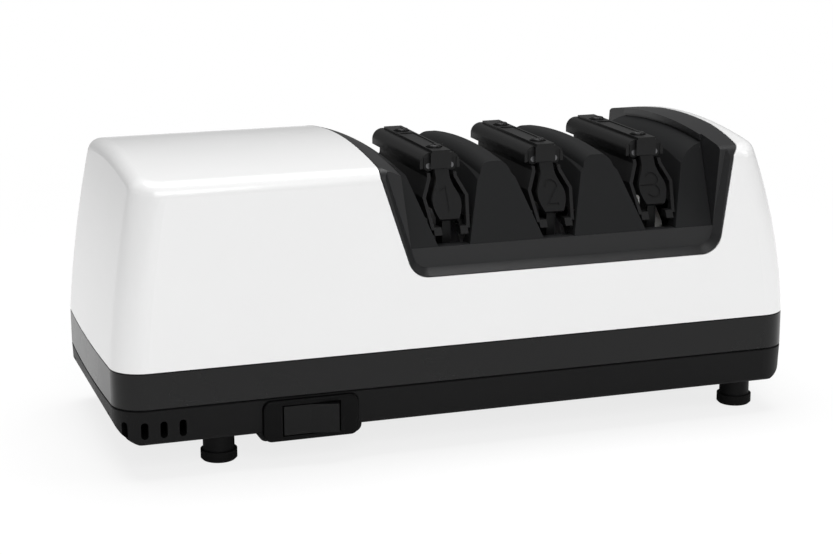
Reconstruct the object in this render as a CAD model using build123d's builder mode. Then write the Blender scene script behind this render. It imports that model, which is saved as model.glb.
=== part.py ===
"""Electric knife sharpener with three slotted stages, as separate named pieces.

Millimetres, +Z up, origin on the table under the middle of the body.
X runs along the body past stages 1, 2 and 3, and the user stands at -Y.
"""

from build123d import *
import math
import os

# ---------------------------------------------------------------- outer body
body_length = 257.0
body_width = 106.7
pan_bottom = 12.0
band_bottom = 24.7
seam_height = 38.0
crest_height = 106.5
arch_radius = 290.0
shoulder_radius = 5.5
corner_radius = 11.3
end_bow = 1.4
side_draft = 0.037
left_lean = 0.078
left_bulge = 0.00112
right_lean = 0.0426
right_bulge = 0.00268
wall = 2.5
seam_gap = 0.15
edge_break = 0.35
lap_gap = 0.3
lap_height = 2.0
pan_round = 12.0
pan_taper = 2.7
pan_edge = 3.0
pan_floor = 2.5

# ---------------------------------------------------------------- opening for the slot insert
window_bottom = seam_height + 25.0
window_bend = seam_height + 61.0
window_flare = seam_height + 67.5
window_left = -21.4
window_left_bend = -32.9
window_left_top = -33.5
window_right = 96.9
window_right_bend = 102.5
window_right_top = 108.0
window_corner = 8.0
insert_gap = 0.3
flange_width = 2.5
flange_skin = 2.0
bezel_chamfer = 2.7
bezel_depth = 3.1
deck_thickness = 4.7
lip_rise = 9.7
lip_thickness = 5.0
cheek_lean_left = 7.8
cheek_lean_right = 4.1
cheek_trim = 0.15
scoop_room = 0.7
mouth_trim = 0.1
cap_overhang = 1.0
cap_thickness = 2.2
cap_step = 3.2

# ---------------------------------------------------------------- stages and knife slots
stage_count = 3
first_stage = -5.3
stage_pitch = 40.0
slot_half = 5.9
guide_angle = 18.2
face_lean = 28.6
fin_gap = 0.2
fin_crest = seam_height + 63.7
fin_corner = 4.5
fin_skirt = 9.2
fin_step = 4.0
deck_gap = 0.6
deck_hole_reach = 31.5
side_window_top = seam_height + 43.4

# ---------------------------------------------------------------- drive line
shaft_height = seam_height + 11.5
shaft_radius = 4.0
shaft_left = -115.0
shaft_right = 105.5
shaft_flat = 0.8
fin_wall = 2.2
peg_radius = 1.5
peg_length = 3.5
peg_y = 37.0
running_gap = 0.05
seat_gap = 0.02
disk_radius = 31.0
disk_inner = 5.5
disk_face = 12.5
disk_web = 2.0
disk_rim = 1.5
cone_drop = 10.0
rim_step = 2.5
cone_wall = 2.8
hub_radius = 9.0
hub_end = 13.5
clip_radius = 6.6
clip_thickness = 1.0
clip_gap = 0.1
clip_bore = 3.4
disk_hole = 2.0
disk_hole_circle = 14.5
disk_holes = 6
spring_wire = 0.8
spring_radius = 6.2
spring_turns = 5.0

# ---------------------------------------------------------------- knife guides
guide_front = -35.0
guide_back = 23.5
guide_half = 7.5
strip_half = 3.45
strip_back = 21.3
strip_top = seam_height + 66.7
strip_rise = 0.9
guide_shoulder = 4.0
guide_boss = 2.1
seat_ring = 0.5
seat_depth = 1.0
guide_ceiling = seam_height + 64.0
skirt_bottom = seam_height + 60.0
web_half = 1.6
web_bottom = seam_height + 44.5
cap_end = 1.5
lug_length = 1.5
lug_radius = 1.9
head_half = 3.85
pillar_near = 33.5
pillar_far = 40.5
pad_half = 4.0
pad_height = 2.2
tab_thickness = 2.2
tab_top = seam_height + 60.0
tab_bottom = seam_height + 43.6
neck_half = 2.65
bulb_half = 5.3
bulb_height = seam_height + 49.9
label_half = 2.7
label_front = -21.5
label_back = 4.5
label_depth = 0.3
guide_screw_front = -27.2
guide_screw_back = 10.3
guide_screw_head = 2.6
guide_screw_radius = 1.2
guide_screw_length = 8.0
digit_size = 9.0
digit_width = 4.4
digit_flag = 1.3
digit_stroke = 0.8
digit_depth = 0.3

# ---------------------------------------------------------------- sprung guide arms
pivot_offset = 4.2
pivot_height = seam_height + 61.0
pin_radius = 1.0
knuckle_radius = 1.8
arm_thickness = 1.25
arm_elbow = 8.0
arm_elbow_height = seam_height + 50.9
arm_foot_offset = 6.5
arm_foot_height = seam_height + 40.3
arm_setback = 1.0
arm_back = 20.2
arm_clear = seam_height + 43.8
foot_block_inner = 3.5
foot_block_outer = 6.3
foot_block_low = seam_height + 38.4
foot_block_high = seam_height + 41.0
foot_block_back = -41.5

# ---------------------------------------------------------------- motor
stator_left = -92.0
stator_right = -60.0
stator_radius = 29.0
stator_bore = 15.5
air_gap = 0.4
rotor_ring = 3.0
slot_width = 4.0
slot_mouth = 1.5
winding_round = 2.0
bracket_arm = 7.0
slot_count = 12
winding_inner = 17.0
winding_outer = 23.0
winding_overhang = 7.0
bracket_depth = 9.0
bracket_plate = 3.0
bracket_inner = 24.4
bearing_radius = 7.0
bearing_length = 8.0
boss_radius = 10.0
bolt_circle = 26.3
bolt_radius = 1.5
bolt_head = 2.7
bolt_head_height = 2.0
foot_plate = 3.0
foot_reach = 10.0
foot_half = 24.0
motor_seat = 20.0
mount_boss = 4.5
mount_screw_y = 19.0
mount_screw_radius = 1.6
mount_screw_head = 3.0
mount_screw_length = 8.0
mount_head_height = 2.0
fan_radius = 24.0
fan_hub = 7.0
fan_left = -114.0
fan_width = 7.0
fan_plate_thickness = 1.5
fan_blade = 1.4
fan_blades = 8
outboard_x = 101.5
outboard_half = 14.0
outboard_screw_y = 7.5
outboard_foot = 15.0
rib = 2.5

# ---------------------------------------------------------------- dust tray and clean-out
tray_left = -26.0
tray_right = 95.0
tray_half = 36.5
tray_top = 62.8
tray_wall = 2.0
shaft_clear = 1.5
port_corner = 3.0
port_x = 34.0
port_length = 32.0
port_width = 30.0
cover_length = 40.0
cover_width = 38.0
cover_thickness = 2.0
cover_gap = 0.25
cover_rib = 1.0
cover_rib_pitch = 5.0
rail_wall = 2.5
rail_lip = 1.2
magnet_length = 12.0
magnet_height = 14.0
magnet_thickness = 2.5

# ---------------------------------------------------------------- switch, gland, feet, screws
switch_x = -59.8
switch_z = 16.6
switch_proud = 1.2
switch_plate_width = 34.4
switch_plate_height = 14.8
switch_plate_thickness = 2.4
switch_plate_corner = 3.0
switch_skirt = 1.5
skirt_depth = 16.0
rocker_half = 10.1
rocker_height = 10.4
rocker_gap = 0.4
rocker_pivot = 1.6
rocker_throw = 16.0
rocker_back = 3.0
plate_round = 0.8
terminal_length = 6.0
terminal_pitch = 6.0
terminal_thickness = 0.8
terminal_width = 4.0
trunnion_radius = 1.0
trunnion_length = 1.0
tunnel_wall = 1.2
tunnel_depth = 14.4
tunnel_room = 2.0
switch_body_depth = 1.0
gland_x = -95.0
gland_z = 18.3
gland_radius = 5.0
gland_flange = 6.0
gland_bore = 3.6
gland_collar = 2.63
gland_length = 14.0
gland_round = 0.8
foot_left = -89.4
foot_right = 112.9
foot_y = 37.5
foot_radius = 5.6
foot_pad_radius = 6.5
foot_pad_height = 3.8
foot_plug_radius = 2.5
foot_plug_height = 5.0
post_x_left = -112.0
post_x_right = 114.0
post_y_left = 33.0
post_y_right = 20.0
post_radius = 4.8
post_rise = 52.0
post_rib = 2.0
screw_radius = 1.8
screw_head_radius = 3.4
screw_head_height = 2.6
screw_seat = 30.0
screw_bite = 14.0
vent_width = 2.5
vent_height = 6.0
vent_z = 17.6
vent_pitch = 6.6
vent_first = -105.0
vent_front = 3
vent_end = 10
vent_end_pitch = 8.0

lip_top = window_bottom + insert_gap + lip_rise
deck_top = window_bottom + insert_gap + deck_thickness
lip_front = body_width / 2 - side_draft * (window_bottom - seam_height) - bezel_depth
far = body_length
lean = math.tan(math.radians(face_lean))
spread = math.tan(math.radians(guide_angle))
arch_axis = Axis((0, 0, crest_height - arch_radius), (1, 0, 0))

os.makedirs("parts", exist_ok=True)


def save(part, name):
    """Label one finished piece and write its STEP file."""
    part.label = name
    export_step(part, "parts/" + name + ".step")


def at_x(x):
    """Plane facing +X; its sketch runs along +Y and +Z."""
    return Plane(origin=(x, 0, 0), x_dir=(0, 1, 0), z_dir=(1, 0, 0))


def at_y(y):
    """Plane facing -Y; its sketch runs along +X and +Z."""
    return Plane(origin=(0, y, 0), x_dir=(1, 0, 0), z_dir=(0, -1, 0))


def at_z(z):
    return Plane.XY.offset(z)


def stage_x(stage):
    return first_stage + stage * stage_pitch


# ---------------------------------------------------------------- outer forms
def left_end(height):
    """X of the leaning left end at a height above the seam."""
    return -body_length / 2 + left_lean * height + left_bulge * height**2


def right_end(height):
    return body_length / 2 - right_lean * height - right_bulge * height**2


def face_y(z):
    """Distance from the middle line to the leaning stage face at one height."""
    return lip_front - lean * (z - lip_top)


def plan_face(z, left, right, half, radius):
    """Rounded plan of the body at one height, with gently bowed ends."""
    with BuildSketch(at_z(z)) as plan:
        with BuildLine():
            Line((left + end_bow, -half), (right - end_bow, -half))
            ThreePointArc((right - end_bow, -half), (right, 0), (right - end_bow, half))
            Line((right - end_bow, half), (left + end_bow, half))
            ThreePointArc((left + end_bow, half), (left, 0), (left + end_bow, -half))
        make_face()
        fillet(plan.vertices(), radius)
    return plan.sketch.face()


def ring_face(z, inset):
    """Plan of the body at the seam, pulled in by an inset."""
    half = body_width / 2 - inset
    return plan_face(z, left_end(0) + inset, right_end(0) - inset, half, corner_radius - inset)


def body_form(inset):
    """Upper body as one solid: leaning bowed ends, drafted sides and an arched top."""
    rise = crest_height - seam_height
    sections = []
    for share in (0, 0.18, 0.38, 0.58, 0.79, 0.93, 1.08):
        height = rise * share
        half = body_width / 2 - side_draft * height - inset
        left = left_end(height) + inset
        right = right_end(height) - inset
        sections.append(plan_face(seam_height + height, left, right, half, corner_radius - inset))
    outside = body_width / 2 + 8 - inset
    drop = (body_width / 2) ** 2 / (2 * arch_radius)
    rim = crest_height - inset - drop
    side = body_width / 2 - inset - side_draft * (rim - seam_height)
    with BuildPart() as form:
        loft(sections=sections)
        with BuildSketch(Plane.YZ):
            with BuildLine():
                Polyline(
                    (-side, rim),
                    (-outside, seam_height + rise / 3),
                    (-outside, seam_height - 1),
                    (outside, seam_height - 1),
                    (outside, seam_height + rise / 3),
                    (side, rim),
                )
                ThreePointArc((side, rim), (0, crest_height - inset), (-side, rim))
            make_face()
        extrude(amount=far, both=True, mode=Mode.INTERSECT)
        shoulders = form.edges().filter_by(GeomType.LINE).filter_by(lambda e: e.length > body_length / 2)
        fillet(shoulders, shoulder_radius - inset)
    return form.part


def window_face(grow, y=0.0):
    """Outline of the opening for the slot insert, grown or shrunk, at one Y."""
    top = crest_height + 12
    with BuildSketch(at_y(y)) as outline:
        with BuildLine():
            Polyline(
                (window_left, window_bottom),
                (window_right, window_bottom),
                (window_right_bend, window_bend),
                (window_right_top, window_flare),
                (window_right_top, top),
                (window_left_top, top),
                (window_left_bend, window_bend),
                close=True,
            )
        make_face()
        fillet(outline.vertices().sort_by(Axis.Y)[:2], window_corner)
        if grow:
            offset(amount=grow, mode=Mode.REPLACE)
    return outline.sketch.face()


def window_prism(grow):
    with BuildPart() as prism:
        extrude(window_face(grow), amount=body_width, both=True)
    return prism.part


def drum(outline):
    """Ring swept by an X-Z outline that follows the arch across the body."""
    with BuildPart() as ring:
        add(outline)
        revolve(axis=arch_axis)
    return ring.part


# ---------------------------------------------------------------- housing
def post_places():
    left = [(post_x_left, y) for y in (-post_y_left, post_y_left)]
    return left + [(post_x_right, y) for y in (-post_y_right, post_y_right)]


def make_upper_housing():
    """Upper shell with the opening for the slot insert and four screw posts."""
    low = seam_height + 1.0
    with BuildPart() as upper_housing:
        add(body_form(0))
        add(body_form(wall), mode=Mode.SUBTRACT)
        add(shell_posts(low))
        add(window_prism(0), mode=Mode.SUBTRACT)
        with BuildSketch(at_z(low)):
            with Locations(*post_places()):
                Circle(screw_radius)
        extrude(amount=screw_bite + 2, mode=Mode.SUBTRACT)
    return upper_housing.part


def shell_posts(low):
    """Four screw posts, each ribbed out to its end wall and kept inside the shell."""
    with BuildPart() as posts:
        with BuildSketch(at_z(low)):
            with Locations(*post_places()):
                Circle(post_radius)
        extrude(amount=post_rise)
        with BuildSketch(at_z(low + lap_height)):
            for x, y in post_places():
                end = left_end(0) if x < 0 else right_end(0)
                with Locations(((x + end) / 2, y)):
                    Rectangle(abs(end - x), post_rib)
        extrude(amount=post_rise - lap_height)
        add(body_form(wall / 2), mode=Mode.INTERSECT)
    return posts.part


def make_base_band():
    """Ring between the pan and the shell, with an inner lap into both."""
    low = band_bottom + seam_gap
    height = seam_height - seam_gap - low
    with BuildPart() as base_band:
        add(ring_face(low, 0))
        extrude(amount=height)
        rims = base_band.edges().group_by(Axis.Z)
        chamfer(rims[0] + rims[-1], edge_break)
        add(ring_face(low - lap_height, wall + lap_gap))
        extrude(amount=height + 2 * lap_height)
        add(ring_face(low - lap_height, 2 * wall + lap_gap))
        extrude(amount=height + 2 * lap_height, mode=Mode.SUBTRACT)
        with BuildSketch(at_z(low)):
            with Locations((switch_x, -body_width / 2)):
                Rectangle(switch_plate_width + 4 * switch_skirt, 5 * wall)
            with Locations((gland_x, body_width / 2)):
                Rectangle(4 * gland_radius, 5 * wall)
        extrude(amount=-lap_height, mode=Mode.SUBTRACT)
    return base_band.part


def pan_form(inset):
    """Tapered tray with large rounds at its ends; an inset gives its inside."""
    half = body_width / 2 - inset
    left = left_end(0) + inset
    right = right_end(0) - inset
    low = pan_bottom + inset
    top = band_bottom
    with BuildPart() as form:
        with BuildSketch(Plane(origin=(0, 0, top), x_dir=(1, 0, 0), z_dir=(0, 0, -1))) as plan:
            with BuildLine():
                Line((left + end_bow, -half), (right - end_bow, -half))
                ThreePointArc((right - end_bow, -half), (right, 0), (right - end_bow, half))
                Line((right - end_bow, half), (left + end_bow, half))
                ThreePointArc((left + end_bow, half), (left, 0), (left + end_bow, -half))
            make_face()
            fillet(plan.vertices(), corner_radius - inset)
        extrude(amount=top - low, taper=pan_taper)
        with BuildSketch(at_y(0)) as side:
            with Locations(((left + right) / 2, low)):
                Rectangle(right - left, 2 * (top - low), align=(Align.CENTER, Align.MIN))
            fillet(side.vertices().sort_by(Axis.Y)[:2], pan_round - inset)
        extrude(amount=body_width, both=True, mode=Mode.INTERSECT)
        with BuildSketch(Plane.YZ) as end:
            with Locations((0, low)):
                Rectangle(2 * half, 2 * (top - low), align=(Align.CENTER, Align.MIN))
            fillet(end.vertices().sort_by(Axis.Y)[:2], pan_edge)
        extrude(amount=far, both=True, mode=Mode.INTERSECT)
    return form.part


def vent_cutters():
    """Upright vents along the front left, round the corner and over the left end."""
    with BuildPart() as cutters:
        with BuildSketch(at_y(0)):
            for number in range(vent_front):
                with Locations((vent_first - number * vent_pitch, vent_z)):
                    SlotOverall(vent_height, vent_width, rotation=90)
        extrude(amount=body_width)
        centre = (left_end(0) + corner_radius, corner_radius - body_width / 2, vent_z)
        with BuildSketch(Plane(origin=centre, x_dir=(1, -1, 0), z_dir=(-1, -1, 0))):
            SlotOverall(vent_height, vent_width, rotation=90)
        extrude(amount=2 * corner_radius)
        centre = (left_end(0) + corner_radius, 0, vent_z)
        with BuildSketch(Plane(origin=centre, x_dir=(0, -1, 0), z_dir=(-1, 0, 0))):
            with GridLocations(vent_end_pitch, 1, vent_end, 1):
                SlotOverall(vent_height, vent_width, rotation=90)
        extrude(amount=2 * corner_radius)
    return cutters.part


def foot_places():
    return [(x, y) for x in (foot_left, foot_right) for y in (-foot_y, foot_y)]


def fan_plate():
    """X of the outer face of the motor's fan-end plate."""
    return stator_left - bracket_depth - bracket_plate


def drive_plate():
    return stator_right + bracket_depth + bracket_plate


def mount_places():
    """Screws that hold the two motor brackets and the outboard bracket."""
    fan = fan_plate() - foot_reach / 2
    drive = drive_plate() + foot_reach / 2
    outboard = outboard_x + bracket_plate / 2 + outboard_foot * 0.6
    motor = [(x, y) for x in (fan, drive) for y in (-mount_screw_y, mount_screw_y)]
    return motor + [(outboard, y) for y in (-outboard_screw_y, outboard_screw_y)]


def tunnel_size():
    """Outer width and height of the tunnel that the rocker sits in."""
    width = 2 * (rocker_half + rocker_gap + tunnel_wall)
    return width, rocker_height + 2 * (rocker_gap + tunnel_wall)


def rail_x():
    """Distance from the port's middle to the inside of a cover rail."""
    return cover_length / 2 + cover_gap


def pan_rails():
    """Two hooked rails under the floor that carry the clean-out cover."""
    drop = cover_thickness + 2 * cover_gap + rail_lip
    with BuildPart() as rails:
        with BuildSketch(at_y(cover_width / 2)):
            for side in (-1, 1):
                with Locations((port_x + side * (rail_x() + rail_wall / 2), pan_bottom + 1)):
                    Rectangle(rail_wall, drop + 1, align=(Align.CENTER, Align.MAX))
                with Locations((port_x + side * rail_x(), pan_bottom - drop)):
                    Rectangle(2 * rail_wall, rail_lip, align=(Align.CENTER, Align.MIN))
        extrude(amount=cover_width)
    return rails.part


def make_base_pan():
    """Bottom tray that carries the motor, bearing bracket, switch, gland, feet and cover."""
    width, height = tunnel_size()
    with BuildPart() as base_pan:
        add(pan_form(0))
        chamfer(base_pan.edges().group_by(Axis.Z)[-1], edge_break)
        add(pan_form(wall), mode=Mode.SUBTRACT)
        with BuildSketch(at_z(pan_bottom + pan_floor / 2)):
            with Locations(*post_places()):
                Circle(post_radius)
        extrude(amount=seam_height + 1.0 - seam_gap - pan_bottom - pan_floor / 2)
        with BuildSketch(at_z(pan_bottom + pan_floor / 2)):
            with Locations(*mount_places()):
                Circle(mount_boss)
        extrude(amount=motor_seat - pan_bottom - pan_floor / 2)
        with BuildSketch(at_z(foot_pad_height)):
            with Locations(*foot_places()):
                Circle(foot_radius)
        extrude(amount=pan_bottom + pan_floor / 2 - foot_pad_height)
        with BuildSketch(at_y(-(body_width / 2 + switch_proud - switch_plate_thickness))):
            with Locations((switch_x, switch_z)):
                skirt = switch_plate_width + 2 * switch_skirt
                RectangleRounded(skirt, switch_plate_height, switch_plate_corner)
        extrude(amount=-skirt_depth)
        add(pan_rails())
        with BuildSketch(at_z(0)):
            with Locations(*foot_places()):
                Circle(foot_plug_radius + running_gap)
        extrude(amount=foot_pad_height + foot_plug_height + running_gap, mode=Mode.SUBTRACT)
        with BuildSketch(at_z(0)):
            with Locations((port_x, 0)):
                RectangleRounded(port_length, port_width, port_corner)
        extrude(amount=motor_seat, mode=Mode.SUBTRACT)
        with BuildSketch(at_z(0)):
            with Locations(*post_places()):
                Circle(screw_head_radius + lap_gap)
        extrude(amount=screw_seat, mode=Mode.SUBTRACT)
        with BuildSketch(at_z(0)):
            with Locations(*post_places()):
                Circle(screw_radius + lap_gap)
        extrude(amount=crest_height, mode=Mode.SUBTRACT)
        with BuildSketch(at_z(motor_seat)):
            with Locations(*mount_places()):
                Circle(mount_screw_radius + seat_gap)
        extrude(amount=foot_plate - mount_screw_length - lap_gap, mode=Mode.SUBTRACT)
        add(vent_cutters(), mode=Mode.SUBTRACT)
        with BuildSketch(at_y(-(body_width / 2 + switch_proud - switch_plate_thickness))):
            with Locations((switch_x, switch_z)):
                plate_width = switch_plate_width + 2 * fin_gap
                plate_height = switch_plate_height + 2 * fin_gap
                RectangleRounded(plate_width, plate_height, switch_plate_corner + fin_gap)
        extrude(amount=body_width, mode=Mode.SUBTRACT)
        with BuildSketch(at_y(-(tunnel_back() - tunnel_room))):
            with Locations((switch_x, switch_z)):
                Rectangle(width + 2 * lap_gap, height + 2 * lap_gap)
        extrude(amount=body_width, mode=Mode.SUBTRACT)
        with BuildSketch(at_y(body_width)):
            with Locations((gland_x, gland_z)):
                Circle(gland_radius + seat_gap)
        extrude(amount=body_width * 0.6, mode=Mode.SUBTRACT)
        with BuildSketch(at_y(body_width)):
            with Locations((gland_x, gland_z)):
                Circle(gland_flange + fin_gap)
        extrude(amount=body_width / 2 + wall / 2, mode=Mode.SUBTRACT)
    return base_pan.part


# ---------------------------------------------------------------- slot insert
def cheek_left(z):
    """X of the inner face of the insert's left cheek at one height."""
    slope = (window_left_bend - window_left) / (window_bend - window_bottom)
    start = window_left + slope * (lip_top - window_bottom) + cheek_trim
    return start + insert_gap + bezel_chamfer - math.tan(math.radians(cheek_lean_left)) * (z - lip_top)


def cheek_right(z):
    slope = (window_right_bend - window_right) / (window_bend - window_bottom)
    start = window_right + slope * (lip_top - window_bottom)
    return start - insert_gap - bezel_chamfer + math.tan(math.radians(cheek_lean_right)) * (z - lip_top)


def edge_left(z):
    """X of the bezel's chamfer line on the left, where the scoop starts."""
    slope = (window_left_bend - window_left) / (window_bend - window_bottom)
    return window_left + slope * (z - window_bottom) + insert_gap + bezel_chamfer + cheek_trim


def edge_right(z):
    slope = (window_right_bend - window_right) / (window_bend - window_bottom)
    return window_right + slope * (z - window_bottom) - insert_gap - bezel_chamfer


def scoop_face(z, left, right, side_y):
    """Plan of the space in front of the stage faces at one height."""
    front = lip_front + scoop_room
    back = face_y(z)
    with BuildSketch(at_z(z)) as plan:
        with BuildLine():
            Polyline(
                (left, -front),
                (left, -side_y),
                (cheek_left(z), -back),
                (cheek_right(z), -back),
                (right, -side_y),
                (right, -front),
                close=True,
            )
        make_face()
    return plan.sketch.face()


def front_scoop():
    """Space cut out of the insert in front of the leaning stage faces."""
    middle = (lip_front + face_y(window_bend)) / 2
    brow = face_y(window_flare) + 2
    left_mid = (edge_left(window_bend) + cheek_left(window_bend)) / 2
    right_mid = (edge_right(window_bend) + cheek_right(window_bend)) / 2
    top_left = window_left_top - 1
    top_right = window_right_top + 1
    near_left = cheek_left(lip_top) + scoop_room / 100
    near_right = cheek_right(lip_top) - scoop_room / 100
    low = scoop_face(lip_top, near_left, near_right, lip_front + fin_gap)
    mid = scoop_face(window_bend, left_mid, right_mid, middle)
    high = scoop_face(window_flare, top_left, top_right, brow)
    with BuildPart() as scoop:
        loft(sections=[low, mid], ruled=True)
        loft(sections=[mid, high], ruled=True)
        extrude(high, amount=crest_height - window_bend)
    return scoop.part


def bezel_chamfers():
    """Chamfered mouth all round the front of the insert."""
    outer = lip_front + bezel_depth
    with BuildPart() as mouth:
        loft(
            sections=[
                window_face(-insert_gap - bezel_chamfer, -lip_front),
                window_face(-insert_gap - mouth_trim, -outer),
            ],
            ruled=True,
        )
        extrude(window_face(-insert_gap - mouth_trim, -outer), amount=5)
    return mouth.part


def crown_points():
    """Three points of the curve that falls from the left seam to stage 1, at mid width."""
    start = (window_left_top, crest_height)
    middle = (window_left_top + 7.0, crest_height - 2.3)
    return start, middle, (window_left_top + 14.5, crest_height - 7.5)


def crown_cut():
    """X-Z outline of the space above the falling left crown."""
    start, middle, end = crown_points()
    sky = crest_height + 6
    with BuildSketch(at_y(0)) as outline:
        with BuildLine():
            ThreePointArc(start, middle, end)
            Polyline(end, (end[0], sky), (start[0], sky), start)
        make_face()
    return outline.sketch.face()


def cheek_prism(bottom, half):
    """Space between the two cheeks above one height, for a half width."""
    sky = crest_height + 6
    with BuildPart() as prism:
        with BuildSketch(at_y(0)):
            with BuildLine():
                Polyline(
                    (cheek_left(bottom), bottom),
                    (cheek_left(sky), sky),
                    (cheek_right(sky), sky),
                    (cheek_right(bottom), bottom),
                    close=True,
                )
            make_face()
        extrude(amount=half, both=True)
    return prism.part


def right_cap(form):
    """Thin top of the insert that overhangs the right cheek, flush with the arch."""
    edge = cheek_right(crest_height) - cap_overhang
    with BuildPart() as cap:
        with BuildSketch(at_y(0)):
            with Locations((edge, crest_height - cap_thickness)):
                Rectangle(cap_overhang + cap_step, cap_step * 2, align=(Align.MIN, Align.MIN))
        revolve(axis=arch_axis)
        with BuildSketch(at_y(0)):
            with Locations((edge, crest_height)):
                Rectangle(far, body_width)
        extrude(amount=face_y(window_flare) + 2, both=True, mode=Mode.INTERSECT)
        add(form, mode=Mode.INTERSECT)
    return cap.part


def insert_flange():
    """Skin under the shell that holds the insert behind the edge of the opening."""
    with BuildPart() as flange:
        add(body_form(wall + insert_gap))
        add(body_form(wall + insert_gap + flange_skin), mode=Mode.SUBTRACT)
        add(window_prism(flange_width), mode=Mode.INTERSECT)
    return flange.part


def peg_places():
    """Pegs of the fins and the guide frames in the deck."""
    fins = [(fin_middle(number), y) for number in range(stage_count + 1) for y in (-peg_y, peg_y)]
    return fins + [(stage_x(stage), y) for stage in range(stage_count) for y in (-peg_y, peg_y)]


def make_slot_bezel(form):
    """Black insert: deck, front and back lips, cheeks and the right-hand cap."""
    scoop = front_scoop()
    mouth = bezel_chamfers()
    with BuildPart() as slot_bezel:
        add(form)
        add(window_prism(-insert_gap), mode=Mode.INTERSECT)
        add(insert_flange())
        add(cheek_prism(deck_top, lip_front - lip_thickness), mode=Mode.SUBTRACT)
        add(cheek_prism(lip_top, body_width), mode=Mode.SUBTRACT)
        add(right_cap(form))
        add(scoop, mode=Mode.SUBTRACT)
        add(mirror(scoop, about=Plane.XZ, mode=Mode.PRIVATE), mode=Mode.SUBTRACT)
        add(mouth, mode=Mode.SUBTRACT)
        add(mirror(mouth, about=Plane.XZ, mode=Mode.PRIVATE), mode=Mode.SUBTRACT)
        add(drum(crown_cut()), mode=Mode.SUBTRACT)
        with BuildSketch(at_z(window_bottom - flange_width)):
            with Locations(*[(stage_x(stage), 0) for stage in range(stage_count)]):
                Rectangle(2 * (disk_face + deck_gap), 2 * deck_hole_reach)
        extrude(amount=deck_thickness + 2 * flange_width, mode=Mode.SUBTRACT)
        with BuildSketch(at_z(deck_top - peg_length - lap_gap)):
            with Locations(*peg_places()):
                Circle(peg_radius + seat_gap)
        extrude(amount=peg_length + lap_gap, mode=Mode.SUBTRACT)
    return slot_bezel.part


# ---------------------------------------------------------------- fins between the slots
def slot_wall(stage, side, z):
    """X of a slot's outer wall: upright to the lip, then leaning away from the guide."""
    return stage_x(stage) + side * (slot_half + spread * max(0.0, z - lip_top))


def fin_left(number, z):
    if number == 0:
        return cheek_left(z) + fin_gap
    return slot_wall(number - 1, 1, z)


def fin_right(number, z):
    if number == stage_count:
        return cheek_right(z) - fin_gap
    return slot_wall(number, -1, z)


def fin_middle(number):
    return (fin_left(number, deck_top) + fin_right(number, deck_top)) / 2


def fin_block(number, inset, top):
    """Wedge between two slots with leaning front and back; an inset gives its hollow."""
    low = deck_top - inset
    step = lip_top - inset / 2
    ends = face_y(top) - inset
    with BuildPart() as block:
        with BuildSketch(at_y(0)):
            with BuildLine():
                Polyline(
                    (fin_left(number, low) + inset, low),
                    (fin_left(number, lip_top) + inset, lip_top),
                    (fin_left(number, top) + inset, top),
                    (fin_right(number, top) - inset, top),
                    (fin_right(number, lip_top) - inset, lip_top),
                    (fin_right(number, low) - inset, low),
                    close=True,
                )
            make_face()
        extrude(amount=body_width, both=True)
        near = lip_front - lip_thickness - fin_gap - inset
        foot = lip_front - lap_gap - inset
        with BuildSketch(Plane.YZ):
            with BuildLine():
                Polyline(
                    (-near, low),
                    (-near, step),
                    (-foot, step),
                    (-ends, top),
                    (ends, top),
                    (foot, step),
                    (near, step),
                    (near, low),
                    close=True,
                )
            make_face()
        extrude(amount=far, both=True, mode=Mode.INTERSECT)
    return block.part


def fin_top_outline(number):
    """X-Z outline under the top of one fin, carried along the arch by a revolve."""
    low = lip_top - lip_rise
    knee = fin_crest - fin_step
    if number == 0:
        start, middle, end = crown_points()
        with BuildSketch(at_y(0)) as outline:
            with BuildLine():
                ThreePointArc(start, middle, end)
                Polyline(
                    end,
                    (end[0] + fin_skirt, end[1] - fin_skirt),
                    (end[0] + fin_skirt, low),
                    (start[0] - fin_skirt, low),
                    (start[0] - fin_skirt, crest_height),
                    start,
                )
            make_face()
        return outline.sketch.face()
    if number == stage_count:
        near = fin_left(number, knee) - 0.5
        edge = fin_right(number, fin_crest) + 1
        top = fin_crest + 1.8
        with BuildSketch(at_y(0)) as outline:
            with BuildLine():
                ThreePointArc((near, knee), (near + 3.4, knee + 3.3), (edge, top))
                Polyline(
                    (edge, top),
                    (edge + fin_skirt, top),
                    (edge + fin_skirt, low),
                    (near - fin_skirt, low),
                    (near - fin_skirt, knee - fin_skirt),
                    (near, knee),
                )
            make_face()
        return outline.sketch.face()
    left = fin_left(number, knee)
    right = fin_right(number, knee)
    run = spread * (fin_crest - knee)
    with BuildSketch(at_y(0)) as outline:
        with BuildLine():
            Polyline(
                (left - fin_skirt, low),
                (left - fin_skirt, knee - fin_skirt),
                (left, knee),
                (left + run, fin_crest),
                (right - run, fin_crest),
                (right, knee),
                (right + fin_skirt, knee - fin_skirt),
                (right + fin_skirt, low),
                close=True,
            )
        make_face()
        crown = outline.vertices().group_by(Axis.Y)[-1]
        fillet(crown, fin_corner)
    return outline.sketch.face()


def fin_hollow(number):
    """Inside of a fin, leaving two bosses for its pegs."""
    with BuildPart() as hollow:
        add(fin_block(number, fin_wall, fin_crest - 2 * fin_wall))
        with BuildSketch(at_z(deck_top - fin_wall)):
            with Locations((fin_middle(number), -peg_y), (fin_middle(number), peg_y)):
                Circle(2 * peg_radius)
        extrude(amount=body_width, mode=Mode.SUBTRACT)
    return hollow.part


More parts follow.
